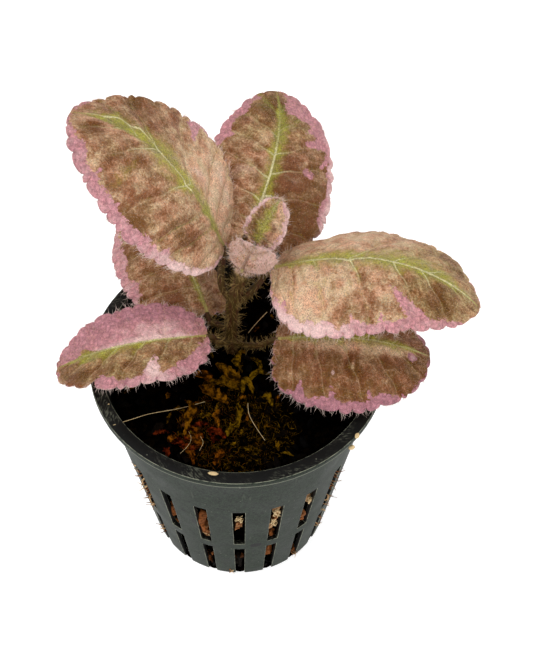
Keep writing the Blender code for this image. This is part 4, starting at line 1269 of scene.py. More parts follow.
class Half:
    """One half of a leaf's blade, with its relief and what is drawn on it."""

    SLANT = (0.22, -0.08)  # a side vein's row grows by these with its reach and its square
    MORE_TEETH = 1.28  # as many lobes as the real margin, which has more than the packed model
    EARLIER, LATER = 0.13, 0.11  # the rows between the listed veins and further ones
    VALLEY = 1.6  # how broad the valley over a vein is, in millimetres
    PUFF = 1.3  # how broad the rounded edge of a small swelling is, in millimetres
    WAVES = 6  # half waves of the blade along its margin
    WAVE = 0.35 * MM  # and their height
    BEAD, LIP = 0.28, 0.3  # the margin's raised bead and its turned down lip, in millimetres
    PINK_REACH = 4  # how far beyond its line the pink is told apart, in millimetres

    def __init__(self, leaf, blade, side, build, seed):
        look = setting("leaf")
        marks = MARKS[leaf.name]
        rng = np.random.default_rng(seed + side)
        self.side = side
        teeth = round(leaf.teeth * self.MORE_TEETH)
        phase = np.arange(1, teeth * build.rows_a_tooth) / build.rows_a_tooth
        sway = 0.2 * np.sin(1.9 * phase + seed) + 0.13 * np.sin(3.1 * phase + 2 * seed)
        ends = np.minimum(1, np.minimum(phase, teeth - phase))
        rows = (phase + sway * ends) / teeth
        reaches = np.linspace(0, 1, build.columns + 1)
        row, reach = np.meshgrid(rows, reaches, indexing="ij")
        self.row, self.reach = row, reach
        sizes = rng.uniform(0.7, 1.15, teeth + 1)
        lobe = np.abs(np.sin(np.pi * phase)) ** 0.5 * sizes[phase.astype(int)]
        tooth = look.tooth * (lobe - 0.6) * build.tooth
        stand = tooth[:, None] * ramp(reach, 0.84, 0.16) ** 1.5
        for half, at_row, depth, breadth in BITES.get(leaf.name, ()):
            bite = depth * MM * np.exp(-np.abs((row - at_row) / breadth) ** 3)
            stand = stand - bite * ramp(reach, 0.55, 0.45) * (half == side)
        self.along, self.out = blade.spot(side, row, reach, stand)
        self.flat = blade.flat(side, row, reach)
        self.width = np.maximum(np.abs(self.flat[:, -1:, 1]), 0.3)
        self.find_veins(marks.veins[side])
        rib_gap = np.abs(self.flat[..., 1])
        near = np.abs((self.vein_phase + 0.5) % 1 - 0.5) * self.vein_step
        part = self.vein_phase % 1
        fade = np.minimum(1, 5 * (1 - row)) * np.minimum(1, 8 * row)
        valley = np.exp(-((np.minimum(near, rib_gap + 0.2) / self.VALLEY) ** 2))
        swell = (1 - valley) * (1.2 - 0.4 * part)
        seeds = rng.uniform((-8, -30), (leaf.length + 8, 30), (int(leaf.length * 6), 2))
        gaps = np.linalg.norm(self.flat[..., None, :] - seeds, axis=-1)
        gaps = np.partition(gaps, 1, axis=-1)
        dome = np.minimum(1, (gaps[..., 1] - gaps[..., 0]) / self.PUFF) ** 0.7
        wave = np.sin(math.pi * self.WAVES * row + side) * reach**3
        bead = lobe[:, None] * np.exp(-(((reach - 0.955) / 0.04) ** 2))
        droop = ramp(reach, 0.95, 0.05) ** 2
        relief = look.quilting * (swell - 0.5) * fade * np.minimum(1, 6 * (1 - reach) + 0.25)
        relief = relief + look.net * (dome - 0.5) * fade + self.WAVE * wave * fade
        relief = relief + (self.BEAD * bead - self.LIP * droop) * MM
        self.relief = relief * build.relief
        # The notch mark paints shade into the notches between the margin's lobes
        self.notch = np.clip(1.1 - lobe[:, None] * 1.6, 0, 1) * ramp(reach, 0.8, 0.2)
        self.paint(marks, side)

    def find_veins(self, roots):
        """Gives each point its phase, a whole number on each side vein, and the gap between two
        veins there in millimetres."""
        roots = list(roots)
        roots = [roots[0] - 2 * self.EARLIER, roots[0] - self.EARLIER] + roots
        while roots[-1] < 1.2:
            roots.append(roots[-1] + self.LATER)
        rise, curve = self.SLANT
        waver = 0.004 * np.sin(11 * self.reach + 31 * self.row)
        root = self.row - rise * self.reach - curve * self.reach**2 + waver
        self.vein_phase = np.interp(root, roots, np.arange(len(roots)))
        along = np.linalg.norm(np.gradient(self.flat, axis=0), axis=-1)
        steps = np.maximum(np.abs(np.gradient(self.vein_phase, axis=0)), 1e-4)
        self.vein_step = np.clip(0.85 * along / steps, 0.5, 12)

    def paint(self, marks, side):
        """Works out the marks that the leaf's finish reads. Gaps are in millimetres."""
        row, reach = self.row, self.reach
        sign = 1 if side == 0 else -1
        pink = (reach - line_value(marks.pink[side], row)) * self.width
        flush = 1.15 - reach / np.maximum(line_value(marks.green[side], row) * 1.35, 0.02)
        drawn = {
            "brown": np.full_like(row, -marks.tan), "red": np.zeros_like(row),
            "green": np.clip(flush, 0, 1), "pale": np.full_like(row, marks.pale),
            "mauve": np.full_like(row, marks.mauve),
        }
        for kind, half, at_row, at_reach, size_row, size_reach, strength in marks.patches:
            if half != side:
                continue
            far = ((row - at_row) / size_row) ** 2 + ((reach - at_reach) / size_reach) ** 2
            amount = strength * np.exp(-far)
            if kind == "pink":
                pink = np.maximum(pink, (1 - far) * 1.2)
            elif kind == "tan":
                drawn["brown"] = drawn["brown"] - amount
            else:
                drawn[kind] = drawn[kind] + amount
        for half, tip, foot, width in self.spike_lines(marks.spikes):
            if half != side:
                continue
            step = foot - tip
            part = np.clip(((self.flat - tip) @ step) / (step @ step), 0, 1)
            gap = np.linalg.norm(self.flat - tip - part[..., None] * step, axis=-1)
            pink = np.maximum(pink, width * part**0.8 - gap)
        points = np.array(marks.rib)
        drift = np.interp(row, points[:, 0], points[:, 1])
        self.drawn = {
            **drawn, "rib_gap": (sign * reach - drift) * self.width,
            "white": np.interp(row, points[:, 0], points[:, 2]),
            "pink": np.clip(pink, -self.PINK_REACH, self.PINK_REACH), "notch": self.notch,
            "vein_phase": self.vein_phase, "vein_step": self.vein_step, "reach": reach,
        }

    def spike_lines(self, spikes):
        """The spikes with their tips and feet as flat places."""
        found = []
        for half, tip_row, tip_reach, foot_row, foot_reach, width in spikes:
            ends = []
            for at_row, at_reach in ((tip_row, tip_reach), (foot_row, foot_reach)):
                i = np.abs(self.row[:, 0] - at_row).argmin()
                j = np.abs(self.reach[0] - at_reach).argmin()
                ends.append(self.flat[i, j])
            found.append((half, *ends, width))
        return found


class LeafMesh:
    """A leaf's blade as two grids, the upper face and the underside, closed along the margin."""

    MARGIN_THINNER = 0.45  # how much thinner the margin is, as a share
    KEEL = 0.5 * MM  # how far the midrib stands out below, at its foot
    KEEL_BREADTH = 0.05  # in reach
    BELOW = 0.92  # the share of a young leaf's face hairs that stand on its underside

    def __init__(self, leaf, build, seed):
        self.leaf = leaf
        self.build = build
        self.blade = Blade(leaf)
        self.halves = [Half(leaf, self.blade, side, build, seed) for side in (0, 1)]
        self.top = self.grid(0.0)
        self.low = self.grid(1.0)

    def grid(self, depth):
        """Rows of points from the left margin to the right, at a share of the thickness."""
        sides = []
        for half in self.halves:
            thin = 1 - self.MARGIN_THINNER * half.reach**4
            keel = self.KEEL * np.exp(-((half.reach / self.KEEL_BREADTH) ** 2)) * (1 - half.row)
            down = depth * (self.build.thickness * thin + keel)
            lift = half.relief - down
            sides.append(self.blade.surface(half.along, half.out, half.side, lift))
        left, right = sides
        return self.across(left, (left[:, :1] + right[:, :1]) / 2, right)

    @staticmethod
    def across(left, middle, right):
        """Rows from the left margin to the right, from the rows of the two halves."""
        return np.concatenate([left[:, :0:-1], middle, right[:, 1:]], axis=1)

    def ends(self, depth):
        """The blade's first and last point on its midrib."""
        lift = np.array([-depth * self.build.thickness])
        return self.blade.surface(np.array([0.0, 1.0]), np.zeros(2), 0, lift)

    def add_to(self, piece):
        rows, columns = self.top.shape[:2]
        index = np.arange(rows * columns).reshape(rows, columns)
        quads = grid_quads(index)
        size = rows * columns
        foot, tip = size, size + 1
        near, far = index[0], index[-1]
        fans = [(foot, near[k + 1], near[k]) for k in range(columns - 1)]
        fans += [(tip, far[k], far[k + 1]) for k in range(columns - 1)]
        under = size + 2
        fans = np.array(fans)
        marks = {}
        for name, left in self.halves[0].drawn.items():
            field = self.across(left, left[:, :1], self.halves[1].drawn[name])
            marks[name] = np.concatenate([field.ravel(), [field[0].mean(), field[-1].mean()]])
        start = piece.size
        for depth, grid in ((0.0, self.top), (1.0, self.low)):
            points = np.concatenate([grid.reshape(-1, 3), self.ends(depth)])
            faces = quads if depth == 0 else quads[:, ::-1]
            piece.add(points, faces, under=depth, **marks)
            piece.faces.append((fans if depth == 0 else fans[:, ::-1]) + piece.size - len(points))
        left = np.concatenate([[foot], index[:, 0], [tip]])
        right = np.concatenate([[foot], index[:, -1], [tip]])
        rim = []
        for line, flip in ((left, False), (right, True)):
            for p, q in zip(line, line[1:]):
                face = (p, q, q + under, p + under)
                rim.append(face[::-1] if flip else face)
        piece.faces.append(np.array(rim) + start)

    def petiole(self):
        """Rows of (x, y, z, radius) from the stem to where the petiole ends under the blade."""
        radius = self.leaf.petiole_radius
        points = [metres(place, radius) for place in self.leaf.petiole]
        lift = np.array([-self.build.under - 0.2 * MM])
        for along, part in ((-0.03, 0.9), (0.05, 0.75), (0.13, 0.45)):
            place = self.blade.surface(np.array([along]), np.array([0.0]), 0, lift)[0]
            points.append((*place, radius * MM * part))
        return smooth_path(points, 6)

    def margin_hairs(self, piece, rng):
        """Hairs along both margins, fanned from outwards to upwards."""
        look = setting("hair")
        for column, inner in ((0, 3), (-1, -4)):
            edge = self.top[:, column]
            runs = runs_along(edge)
            total = int(runs[-1] / look.spacing)
            at = np.sort(rng.uniform(0, runs[-1], total))
            roots = between(at, runs, edge)
            out = unit(roots - between(at, runs, self.top[:, inner]))
            ways = out + rng.normal(0, 0.34, roots.shape)
            ways[:, 2] += rng.uniform(0, 1.1, total)
            size = look.margin_length * self.build.margin_hair * rng.uniform(0.45, 1.25, total)
            roots = roots - out * 0.15 * MM
            add_hairs(piece, rng, roots, ways, size, radius=0.04 * MM, bend=0.25, joints=2)

    def surface_hairs(self, piece, rng, total):
        """Short hairs that stand on the upper face and lean to the tip. On a young leaf nearly
        all stand on the underside."""
        rows, columns = self.top.shape[:2]
        i = rng.integers(0, rows - 1, total)
        j = rng.integers(0, columns - 1, total)
        u, v = rng.uniform(0, 1, (2, total, 1))
        a, b = self.top[i, j], self.top[i + 1, j]
        c, d = self.top[i, j + 1], self.top[i + 1, j + 1]
        roots = a * (1 - u) * (1 - v) + b * u * (1 - v)
        roots = roots + c * (1 - u) * v + d * u * v
        normal = unit(np.cross(d - a, b - c))
        ways = normal + 0.5 * unit(b - a) + rng.normal(0, 0.35, roots.shape)
        length = setting("hair").surface_length * self.build.face_hair
        size = length * rng.uniform(0.5, 1.3, total)
        if self.build is YOUNG:
            below = rng.random((total, 1)) < self.BELOW
            roots = np.where(below, roots - normal * self.build.thickness, roots)
            ways = np.where(below, ways - 2 * normal, ways)
        roots = roots - normal * 0.05 * MM
        add_hairs(piece, rng, roots, ways, size, self.build.face_hair_radius, bend=0.3)


def stalk_hairs(piece, rng, path, total, length):
    """Hairs all round a stalk."""
    runs = runs_along(path[:, :3])
    at = rng.uniform(0, runs[-1], total)
    centres = between(at, runs, path)
    ways = between(at, runs, unit(np.gradient(path[:, :3], axis=0)))
    out = unit(np.cross(ways, rng.normal(size=(total, 3))))
    roots = centres[:, :3] + out * centres[:, 3:] * 0.95
    size = length * rng.uniform(0.5, 1.25, total)
    ways = out + rng.normal(0, 0.3, out.shape)
    add_hairs(piece, rng, roots, ways, size, radius=0.032 * MM, bend=0.4, joints=3)


def make_leaf(leaf, build, seed, slot):
    """One leaf: its blade and petiole in one piece, and its hairs in another."""
    rng = np.random.default_rng(seed * 31 + 5)
    mesh = LeafMesh(leaf, build, seed)
    piece = Piece()
    mesh.add_to(piece)
    blade_end = piece.count_faces()
    path = mesh.petiole()
    add_tube(piece, path, PETIOLE_SIDES, flat=0.9, bumps=0.04)
    obj = piece.build(leaf.name + "_blade", ("leaf", "stalk"), slot, (leaf.name,))
    paint_faces(obj, blade_end, blade_end + PETIOLE_SIDES * (len(path) - SUNK_RINGS), 1)
    look = setting("hair")
    grown = build is GROWN
    total = int(look.surface_hairs * (leaf.length / FULL_LENGTH) ** 2)
    hairs = Piece()
    mesh.margin_hairs(hairs, rng)
    margin_end = hairs.count_faces()
    mesh.surface_hairs(hairs, rng, total if grown else look.young_hairs)
    face_end = hairs.count_faces()
    stalk_hairs(hairs, rng, path, build.stalk_hairs, look.stalk_length * build.stalk_hair)
    obj = hairs.build(leaf.name + "_hairs", ("hair", "blade_hair", "stalk_hair"), slot)
    # Half the hairs on a young leaf's face stay whitish
    paint_faces(obj, margin_end, face_end if grown else (margin_end + face_end) // 2, 1)
    paint_faces(obj, face_end, None, 2)


def make_leaves(leaves, build, slot):
    for number, leaf in enumerate(leaves):
        make_leaf(leaf, build, DRAWS[slot] + number, slot)


def make_stem():
    """The hairy stem, in two pieces."""
    path = smooth_path([metres(*point) for point in STEM_PATH], 8)
    piece = Piece()
    add_tube(piece, path, 24, flat=1.0, bumps=0.05)
    piece.build("stem_skin", ("stalk",), "stem_green", ("stem",))
    hairs = Piece()
    above = path[path[:, 2] > MEDIUM_TOP + 1 * MM]
    look = setting("hair")
    rng = np.random.default_rng(DRAWS["stem"])
    stalk_hairs(hairs, rng, above, look.stem_hairs, 1.35 * look.stalk_length)
    hairs.build("stem_hairs", ("stalk_hair",), "stem_green")


# The pot


def wall_radius(height):
    """The pot's outer radius at a height."""
    part = height / (POT_HEIGHT - COLLAR_HEIGHT)
    return BODY_BASE_RADIUS + (BODY_TOP_RADIUS - BODY_BASE_RADIUS) * part


def pot_rows():
    """The pot's section, row by row: (outer radius, outer height, inner radius, inner height,
    the slot the row belongs to, its half width there). A slot's rows run from edge to edge."""
    rows = []
    low, high = UPPER_SLOT
    upper = (low, high, *UPPER_HALF_WIDTHS)
    lower = (0, LOWER_SLOT_TOP, *LOWER_HALF_WIDTHS)

    def on_wall(slot, kind, *heights):
        foot, top, narrow, wide = slot
        for height in heights:
            radius = wall_radius(height)
            half_width = narrow + (wide - narrow) * min(max((height - foot) / (top - foot), 0), 1)
            rows.append((radius, height, radius - WALL, height, kind, half_width))

    on_wall(upper, "", 70 * MM, 64 * MM, 58 * MM, 53 * MM, high + BESIDE)
    parts = (1, 0.98, 0.75, 0.5, 0.25, 0.02, 0)
    on_wall(upper, "upper", *(low + (high - low) * part for part in parts))
    on_wall(upper, "", low - BESIDE)
    on_wall(lower, "", LOWER_SLOT_TOP + BESIDE)
    down = (LOWER_SLOT_TOP, LOWER_SLOT_TOP - BESIDE, 16 * MM, 10.5 * MM, 5 * MM)
    on_wall(lower, "lower", *down)
    width = LOWER_HALF_WIDTHS[0]
    inner_corner = wall_radius(FLOOR) - WALL
    for degrees in (90, 60, 30, 0):
        lean = math.radians(degrees)
        inward, up = 1 - math.sin(lean), 1 - math.cos(lean)
        rows.append((
            BODY_BASE_RADIUS - BASE_CORNER * inward, BASE_CORNER * up,
            inner_corner - INNER_CORNER * inward, FLOOR + INNER_CORNER * up, "lower", width,
        ))
    end = LOWER_SLOT_INNER_RADIUS
    for radius in (20.5 * MM, end):
        rows.append((radius, 0, radius, FLOOR, "lower", width))
    for radius in (end - BESIDE, 15 * MM):
        rows.append((radius, 0, radius, FLOOR, "", width * radius / end))
    return rows


def column_angles(radius, half_width):
    """The angles of the pot's upright lines: each slot's two edges, a line beside each, its
    middle, and two more on the bar between slots."""
    edge = half_width / radius
    beside = (half_width + BESIDE) / radius
    pitch = 2 * math.pi / COLUMNS
    bar = pitch - 2 * beside
    offsets = (-beside, -edge, 0, edge, beside, beside + bar / 3, beside + 2 * bar / 3)
    start = FIRST_COLUMN - math.pi / 2
    return np.array([start + pitch * k + o for k in range(COLUMNS) for o in offsets])


def ring(radius, height, angles):
    z = np.full(len(angles), height)
    return np.stack([radius * np.cos(angles), radius * np.sin(angles), z], -1)


def make_pot():
    """The pot with rounded edges: grids of its outside and inside, joined round each slot."""
    lines = LINES * COLUMNS
    slotted = {1, 2}  # the two strips between a slot's edges
    top_angles = column_angles(RIM_RADIUS, UPPER_HALF_WIDTHS[1])
    collar_low = POT_HEIGHT - COLLAR_HEIGHT
    mouth = wall_radius(POT_HEIGHT) - WALL
    outer = [
        ring(RIM_RADIUS, POT_HEIGHT, top_angles),
        ring(RIM_RADIUS, collar_low, top_angles),
        ring(wall_radius(collar_low), collar_low, top_angles),
    ]
    inner = [
        ring(mouth, POT_HEIGHT, top_angles),
        ring(mouth - 0.15 * MM, collar_low + 1 * MM, top_angles),
        ring(wall_radius(collar_low) - WALL, collar_low, top_angles),
    ]
    kinds = ["", "", ""]
    for out_r, out_z, in_r, in_z, kind, half_width in pot_rows():
        angles = column_angles(out_r, half_width)
        outer.append(ring(out_r, out_z, angles))
        inner.append(ring(in_r, in_z, angles))
        kinds.append(kind)
    total = len(outer)
    inside = total * lines
    faces = []

    def open_at(i, k):
        both = 0 <= i < total - 1 and kinds[i] and kinds[i] == kinds[i + 1]
        return bool(both) and k % LINES in slotted

    for i in range(total - 1):
        for k in range(lines):
            if open_at(i, k):
                continue
            after = (k + 1) % lines
            a, b = i * lines + k, i * lines + after
            c, d = (i + 1) * lines + after, (i + 1) * lines + k
            faces.append((d, c, b, a))
            faces.append((inside + a, inside + b, inside + c, inside + d))
            if open_at(i - 1, k):
                faces.append((a, b, inside + b, inside + a))
            if open_at(i + 1, k):
                faces.append((c, d, inside + d, inside + c))
            if open_at(i, after):
                faces.append((b, c, inside + c, inside + b))
            if open_at(i, k - 1):
                faces.append((d, a, inside + a, inside + d))
    for k in range(lines):
        after = (k + 1) % lines
        faces.append((k, after, inside + after, inside + k))
    last = (total - 1) * lines
    faces.append(tuple(last + k for k in range(lines)))
    faces.append(tuple(inside + last + k for k in reversed(range(lines))))
    mesh = new_mesh("pot_shell", np.concatenate(outer + inner), faces, False)
    mesh.validate()
    obj = linked("pot_shell", mesh)
    drain = drain_cutter()
    cut = obj.modifiers.new("drain_holes", "BOOLEAN")
    cut.operation = "DIFFERENCE"
    cut.object = drain
    bevel = obj.modifiers.new("rounded_edges", "BEVEL")
    bevel.width = setting("pot").edge
    bevel.segments = 2
    bevel.limit_method = "ANGLE"
    bevel.angle_limit = math.radians(40)
    # The rounded edges get the painted edge highlight
    bevel.material = 1
    mesh.materials.append(finish_of("pot"))
    mesh.materials.append(finish_of("highlit"))
    apply_modifiers(obj)
    bpy.data.objects.remove(drain)
    obj.data.polygons.foreach_set("use_smooth", [True] * len(obj.data.polygons))
    obj.data.set_sharp_from_angle(angle=math.radians(SHARPEST))
    parts = [polygon.material_index for polygon in obj.data.polygons]
    placed(obj, ("pot", "highlit"), ("net_pot",))
    obj.data.polygons.foreach_set("material_index", parts)


def drain_cutter():
    bm = bmesh.new()
    for hole in range(DRAIN_HOLES):
        turn = Matrix.Rotation(2 * math.pi * hole / DRAIN_HOLES, 4, "Z")
        bmesh.ops.create_cone(
            bm, cap_ends=True, segments=28, radius1=DRAIN_HOLE_RADIUS, radius2=DRAIN_HOLE_RADIUS,
            depth=4 * FLOOR, matrix=turn @ Matrix.Translation((DRAIN_CIRCLE, 0, 0)),
        )
    mesh = bpy.data.meshes.new("drain_cutter")
    bm.to_mesh(mesh)
    bm.free()
    return linked("drain_cutter", mesh)


def apply_modifiers(obj):
    bpy.context.view_layer.update()
    graph = bpy.context.evaluated_depsgraph_get()
    mesh = bpy.data.meshes.new_from_object(obj.evaluated_get(graph))
    obj.modifiers.clear()
    obj.data = mesh


# The growing medium


def medium_height(x, y):
    """The height of the packed medium's lumpy top."""
    place = Vector((x, y, 0))

    def lumps(size, seed):
        return noise.noise(place / size + Vector((seed, 2.3 * seed, -seed)))

    return MEDIUM_TOP + LUMP * (lumps(9 * MM, 3) + 0.6 * lumps(4 * MM, 8))


def crumbs(points, size):
    """How far crumbs of this size stand up at each point, 0 to 1."""
    heights = []
    for point in points:
        gaps, _ = noise.voronoi(Vector(point) / size)
        heights.append(min(1.0, 1.6 * (gaps[1] - gaps[0])))
    return np.array(heights)


def make_soil():
    """The plug of mix: a crumbly top, and a rough side that shows through the slots."""
    around, top_rings, side_rings = 260, 70, 60
    crumb = setting("medium").crumb
    angles = 2 * np.pi * np.arange(around) / around
    radius = wall_radius(MEDIUM_TOP) - WALL - GAP
    parts = np.linspace(0.012, 0.985, top_rings)
    rings = [ring(radius * part, MEDIUM_TOP, angles) for part in parts]
    heights = np.linspace(MEDIUM_TOP - 0.6 * MM, MEDIUM_LOW, side_rings)
    rings += [ring(wall_radius(z) - WALL - GAP, z, angles) for z in heights]
    rings.append(ring(wall_radius(MEDIUM_LOW) * 0.4, MEDIUM_LOW, angles))
    grid = np.array(rings)
    top = grid[:top_rings].reshape(-1, 3)
    top[:, 2] = [medium_height(x, y) for x, y, _ in top]
    rise = crumbs(top, crumb) * 0.8 + crumbs(top, crumb * 0.4) * 0.35 - 0.6
    top[:, 2] += rise * MM
    side = grid[top_rings:-1].reshape(-1, 3)
    dent = 1.1 - crumbs(side, crumb * 1.3) * 0.8 - crumbs(side, crumb * 0.5) * 0.3
    dent = (dent * 1.4 + 0.05) * MM
    share = 1 - dent / np.hypot(side[:, 0], side[:, 1])
    side[:, :2] *= share[:, None]
    points = np.concatenate([top, side, grid[-1]])
    centre = len(points)
    ends = np.array([[0, 0, points[0, 2]], [0, 0, MEDIUM_LOW]])
    piece = Piece()
    index = np.arange(centre).reshape(-1, around)
    after = np.roll(index, -1, axis=1)
    piece.add(np.concatenate([points, ends]), grid_quads(index, True)[:, [0, 3, 2, 1]])
    fans = [(centre, index[0, k], after[0, k]) for k in range(around)]
    fans += [(centre + 1, after[-1, k], index[-1, k]) for k in range(around)]
    piece.faces.append(np.array(fans))
    # Painted shade: dark fill in each lower slot, down to the floor, for the shade under the pot
    reach = np.linspace(LOWER_SLOT_INNER_RADIUS + 0.5 * MM, BODY_BASE_RADIUS - 0.5 * MM, 9)
    for column in range(COLUMNS):
        angle = FIRST_COLUMN - math.pi / 2 + 2 * math.pi * column / COLUMNS
        path = [(r * math.cos(angle), r * math.sin(angle), 1.8 * MM, 1.65 * MM) for r in reach]
        add_tube(piece, path, 10, flat=1.0, bumps=0.05)
    piece.build("soil_plug", ("soil",), "growing_mix", ("growing_medium",))


def add_chip(piece, rng, place, size, tone, turn):
    """One weathered chip: the hull of a few points in a flattened box, laid at a slant."""
    bm = bmesh.new()
    for _ in range(CHIP_CORNERS):
        corner = Vector(rng.uniform(-0.5, 0.5) for _ in range(3))
        corner = corner / max(max(abs(c) for c in corner), 0.2) * 0.5 * rng.uniform(0.75, 1)
        bm.verts.new(Vector(a * b for a, b in zip(corner, size)))
    bmesh.ops.convex_hull(bm, input=bm.verts)
    loose = [vert for vert in bm.verts if not vert.link_faces]
    bmesh.ops.delete(bm, geom=loose, context="VERTS")
    bmesh.ops.transform(bm, matrix=Matrix.Translation(place) @ turn, verts=bm.verts)
    bm.verts.index_update()
    points = [tuple(vert.co) for vert in bm.verts]
    faces = [tuple(vert.index for vert in face.verts) for face in bm.faces]
    bm.free()
    piece.add(points, faces, tone=tone)


def make_bark():
    """Chips of bark and shreds on the top, and bits that show in the slots."""
    rng = random.Random(DRAWS["bark"])
    piece = Piece()
    stem_x, stem_y, _ = STEM_PATH[0][0]
    red_x, red_y, red_radius = FRESH_BARK
    for _ in range(setting("medium").chips):
        spread = CHIP_SPREAD * math.sqrt(rng.random())
        angle = rng.uniform(0, 2 * math.pi)
        x, y = spread * math.cos(angle), spread * math.sin(angle)
        if math.hypot(x - stem_x * MM, y - stem_y * MM) < STEM_CLEARING:
            continue
        size = Vector(rng.uniform(*ends) for ends in CHIP_SIZES) * MM
        turn = Matrix.Rotation(rng.uniform(0, 6.3), 4, "Z")
        turn = turn @ Matrix.Rotation(rng.uniform(-0.5, 0.5), 4, "Y")
        place = Vector((x, y, medium_height(x, y) + rng.uniform(-0.4, 0.5) * MM))
        fresh = max(0, 1 - math.hypot(x - red_x, y - red_y) / red_radius)
        add_chip(piece, rng, place, size, rng.random() * 0.6 + 0.5 * fresh, turn)
    bits = list(SLOT_BITS)
    for column in range(COLUMNS):
        angle = math.degrees(FIRST_COLUMN) + 360 * column / COLUMNS
        bits.append((angle, 3.4, 0.3, 3.0, 2.45, 4.0, rng.uniform(0.1, 0.5)))
        if 60 < angle < 300:
            for height in [rng.uniform(*ends) for ends in BACK_HEIGHTS]:
                size = [rng.uniform(*ends) for ends in BACK_SIZES]
                bits.append((angle, height, rng.uniform(0.1, 0.6), *size, rng.uniform(0.4, 1.5)))
    for degrees, height, behind, *size, tone in bits:
        angle = math.radians(degrees) - math.pi / 2
        radius = wall_radius(height * MM) - WALL - (behind + 0.6) * MM
        place = Vector((radius * math.cos(angle), radius * math.sin(angle), height * MM))
        turn = Matrix.Rotation(angle, 4, "Z") @ Matrix.Rotation(rng.uniform(-0.3, 0.3), 4, "X")
        add_chip(piece, rng, place, Vector(size) * MM, tone, turn)
        for _ in range(SPLINTERS):
            shift = Vector(rng.uniform(-0.34, 0.34) * part for part in size) * MM
            bit = Vector(rng.uniform(0.35, 0.6) * part for part in size) * MM
            tilt = turn @ Matrix.Rotation(rng.uniform(-0.8, 0.8), 4, "X")
            add_chip(piece, rng, place + turn @ shift, bit, tone * rng.uniform(0.7, 1.3), tilt)
    piece.build("bark_chips", ("bark",), "growing_mix", smooth=False)


def add_sprig(piece, rng, places, width, tone):
    """One crinkled, keeled leaf of moss along a path of places, with ragged edges."""
    path = smooth_path(np.array(places) * MM, 7)
    total = len(path)
    part = np.linspace(0, 1, total)
    ways = unit(np.gradient(path, axis=0))
    side = unit(np.cross(ways, np.array([0.05, 0.1, 1.0])))
    up = np.cross(side, ways)
    half = width * MM / 2 * np.sin(np.pi * np.clip(0.06 + 0.91 * part, 0, 1)) ** 0.95
    columns = []
    for across in (-1, -0.5, 0, 0.5, 1):
        ragged = 1 + rng.uniform(-0.5, 0.45, total) * (abs(across) > 0.6)
        lift = 0.9 * across**2 * half + rng.uniform(-0.3, 0.3, total) * MM
        columns.append(path + side * (across * half * ragged)[:, None] + up * lift[:, None])
    top = np.stack(columns, 1)
    low = top - up[:, None] * 0.12 * MM
    points = np.concatenate([top.reshape(-1, 3), low.reshape(-1, 3)])
    index = np.arange(total * 5).reshape(total, 5)
    upper = grid_quads(index)
    under = index.size
    loop = [*index[0], *index[1:, -1], *index[-1, -2::-1], *index[-2:0:-1, 0]]
    rims = [(q, p, p + under, q + under) for p, q in zip(loop, loop[1:] + loop[:1])]
    faces = np.concatenate([upper, upper[:, ::-1] + under, rims])
    piece.add(points, faces, tone=tone)


def make_moss():
    """The leafy sprigs before the stem, and fine threads of moss between them and the rim."""
    rng = np.random.default_rng(DRAWS["moss"])
    piece = Piece()
    for places, width, tone in SPRIGS:
        add_sprig(piece, rng, places, width, tone)
    for _ in range(SMALL_SPRIGS):
        angle = rng.uniform(0, 2 * np.pi)
        spread = SPRIG_SPREAD * math.sqrt(rng.random())
        x, y = spread * math.cos(angle), spread * math.sin(angle)
        z = medium_height(x * MM, y * MM) / MM + 0.7
        way = unit(rng.normal(size=3)) * rng.uniform(1.2, 2.6)
        way[2] = abs(way[2]) * 0.4
        middle = np.array([x, y, z])
        tone = rng.uniform(0, 0.8)
        add_sprig(piece, rng, (middle - way, middle + (0, 0, 0.4), middle + way),
                  rng.uniform(0.7, 1.4), tone)
    for _ in range(RED_SPRIGS):
        x, y = (rng.normal(*place) for place in RED_PLACE)
        if math.hypot(x, y) > RED_REACH:
            continue
        way = unit(rng.normal(size=3) * (1, 1, 0.3)) * rng.uniform(1.2, 2.8)
        middle = np.array([x, y, medium_height(x * MM, y * MM) / MM + 0.8])
        add_sprig(piece, rng, (middle - way, middle + (0, 0, 0.6), middle + way),
                  rng.uniform(1.0, 2.4), rng.uniform(1.0, 1.9))
    piece.build("moss_leaves", ("moss",), "growing_mix")
    threads = Piece()
    total = setting("medium").threads
    angle = rng.uniform(0, 2 * np.pi, total)
    spread = THREAD_RADIUS * np.sqrt(rng.uniform(0, 1, total))
    x = spread * np.cos(angle)
    y = THREAD_MIDDLE + spread * np.sin(angle) * THREAD_DEPTH
    inside = np.hypot(x, y) < THREAD_REACH
    x, y = x[inside], y[inside]
    roots = np.stack([x, y, [medium_height(*place) for place in zip(x, y)]], -1)
    ways = rng.normal(0, 0.8, roots.shape) + np.array([0, 0, 0.35])
    size = rng.uniform(0.6, 2.6, len(x)) * MM
    # Tones below 0 are painted shade; they fall towards +x, so threads are darker to the right
    tones = rng.uniform(-1.2, 0.9, len(x)) - x / (30 * MM)
    add_hairs(threads, rng, roots, ways, size, 0.1 * MM, bend=0.6, joints=3, tone=tones)
    threads.build("moss_threads", ("moss",), "growing_mix")


def slot_place(degrees, height, out=0.0):
    """A place on the wall's outside, in metres, from its angle, height and distance out."""
    angle = math.radians(degrees) - math.pi / 2
    radius = wall_radius(height * MM) + out * MM
    return np.array([radius * math.cos(angle), radius * math.sin(angle), height * MM])


def add_seed(piece, middle, way, size):
    """A seed: a flattened spindle of this length and half width."""
    length, half = size
    way = unit(np.array(way, float))
    path = []
    for part in np.linspace(-1, 1, 7):
        place = np.array(middle) * MM + way * length / 2 * part * MM
        path.append((*place, half * MM * math.sqrt(max(0.02, 1 - part**2))))
    add_tube(piece, path, 8, flat=0.6, bumps=0.05)


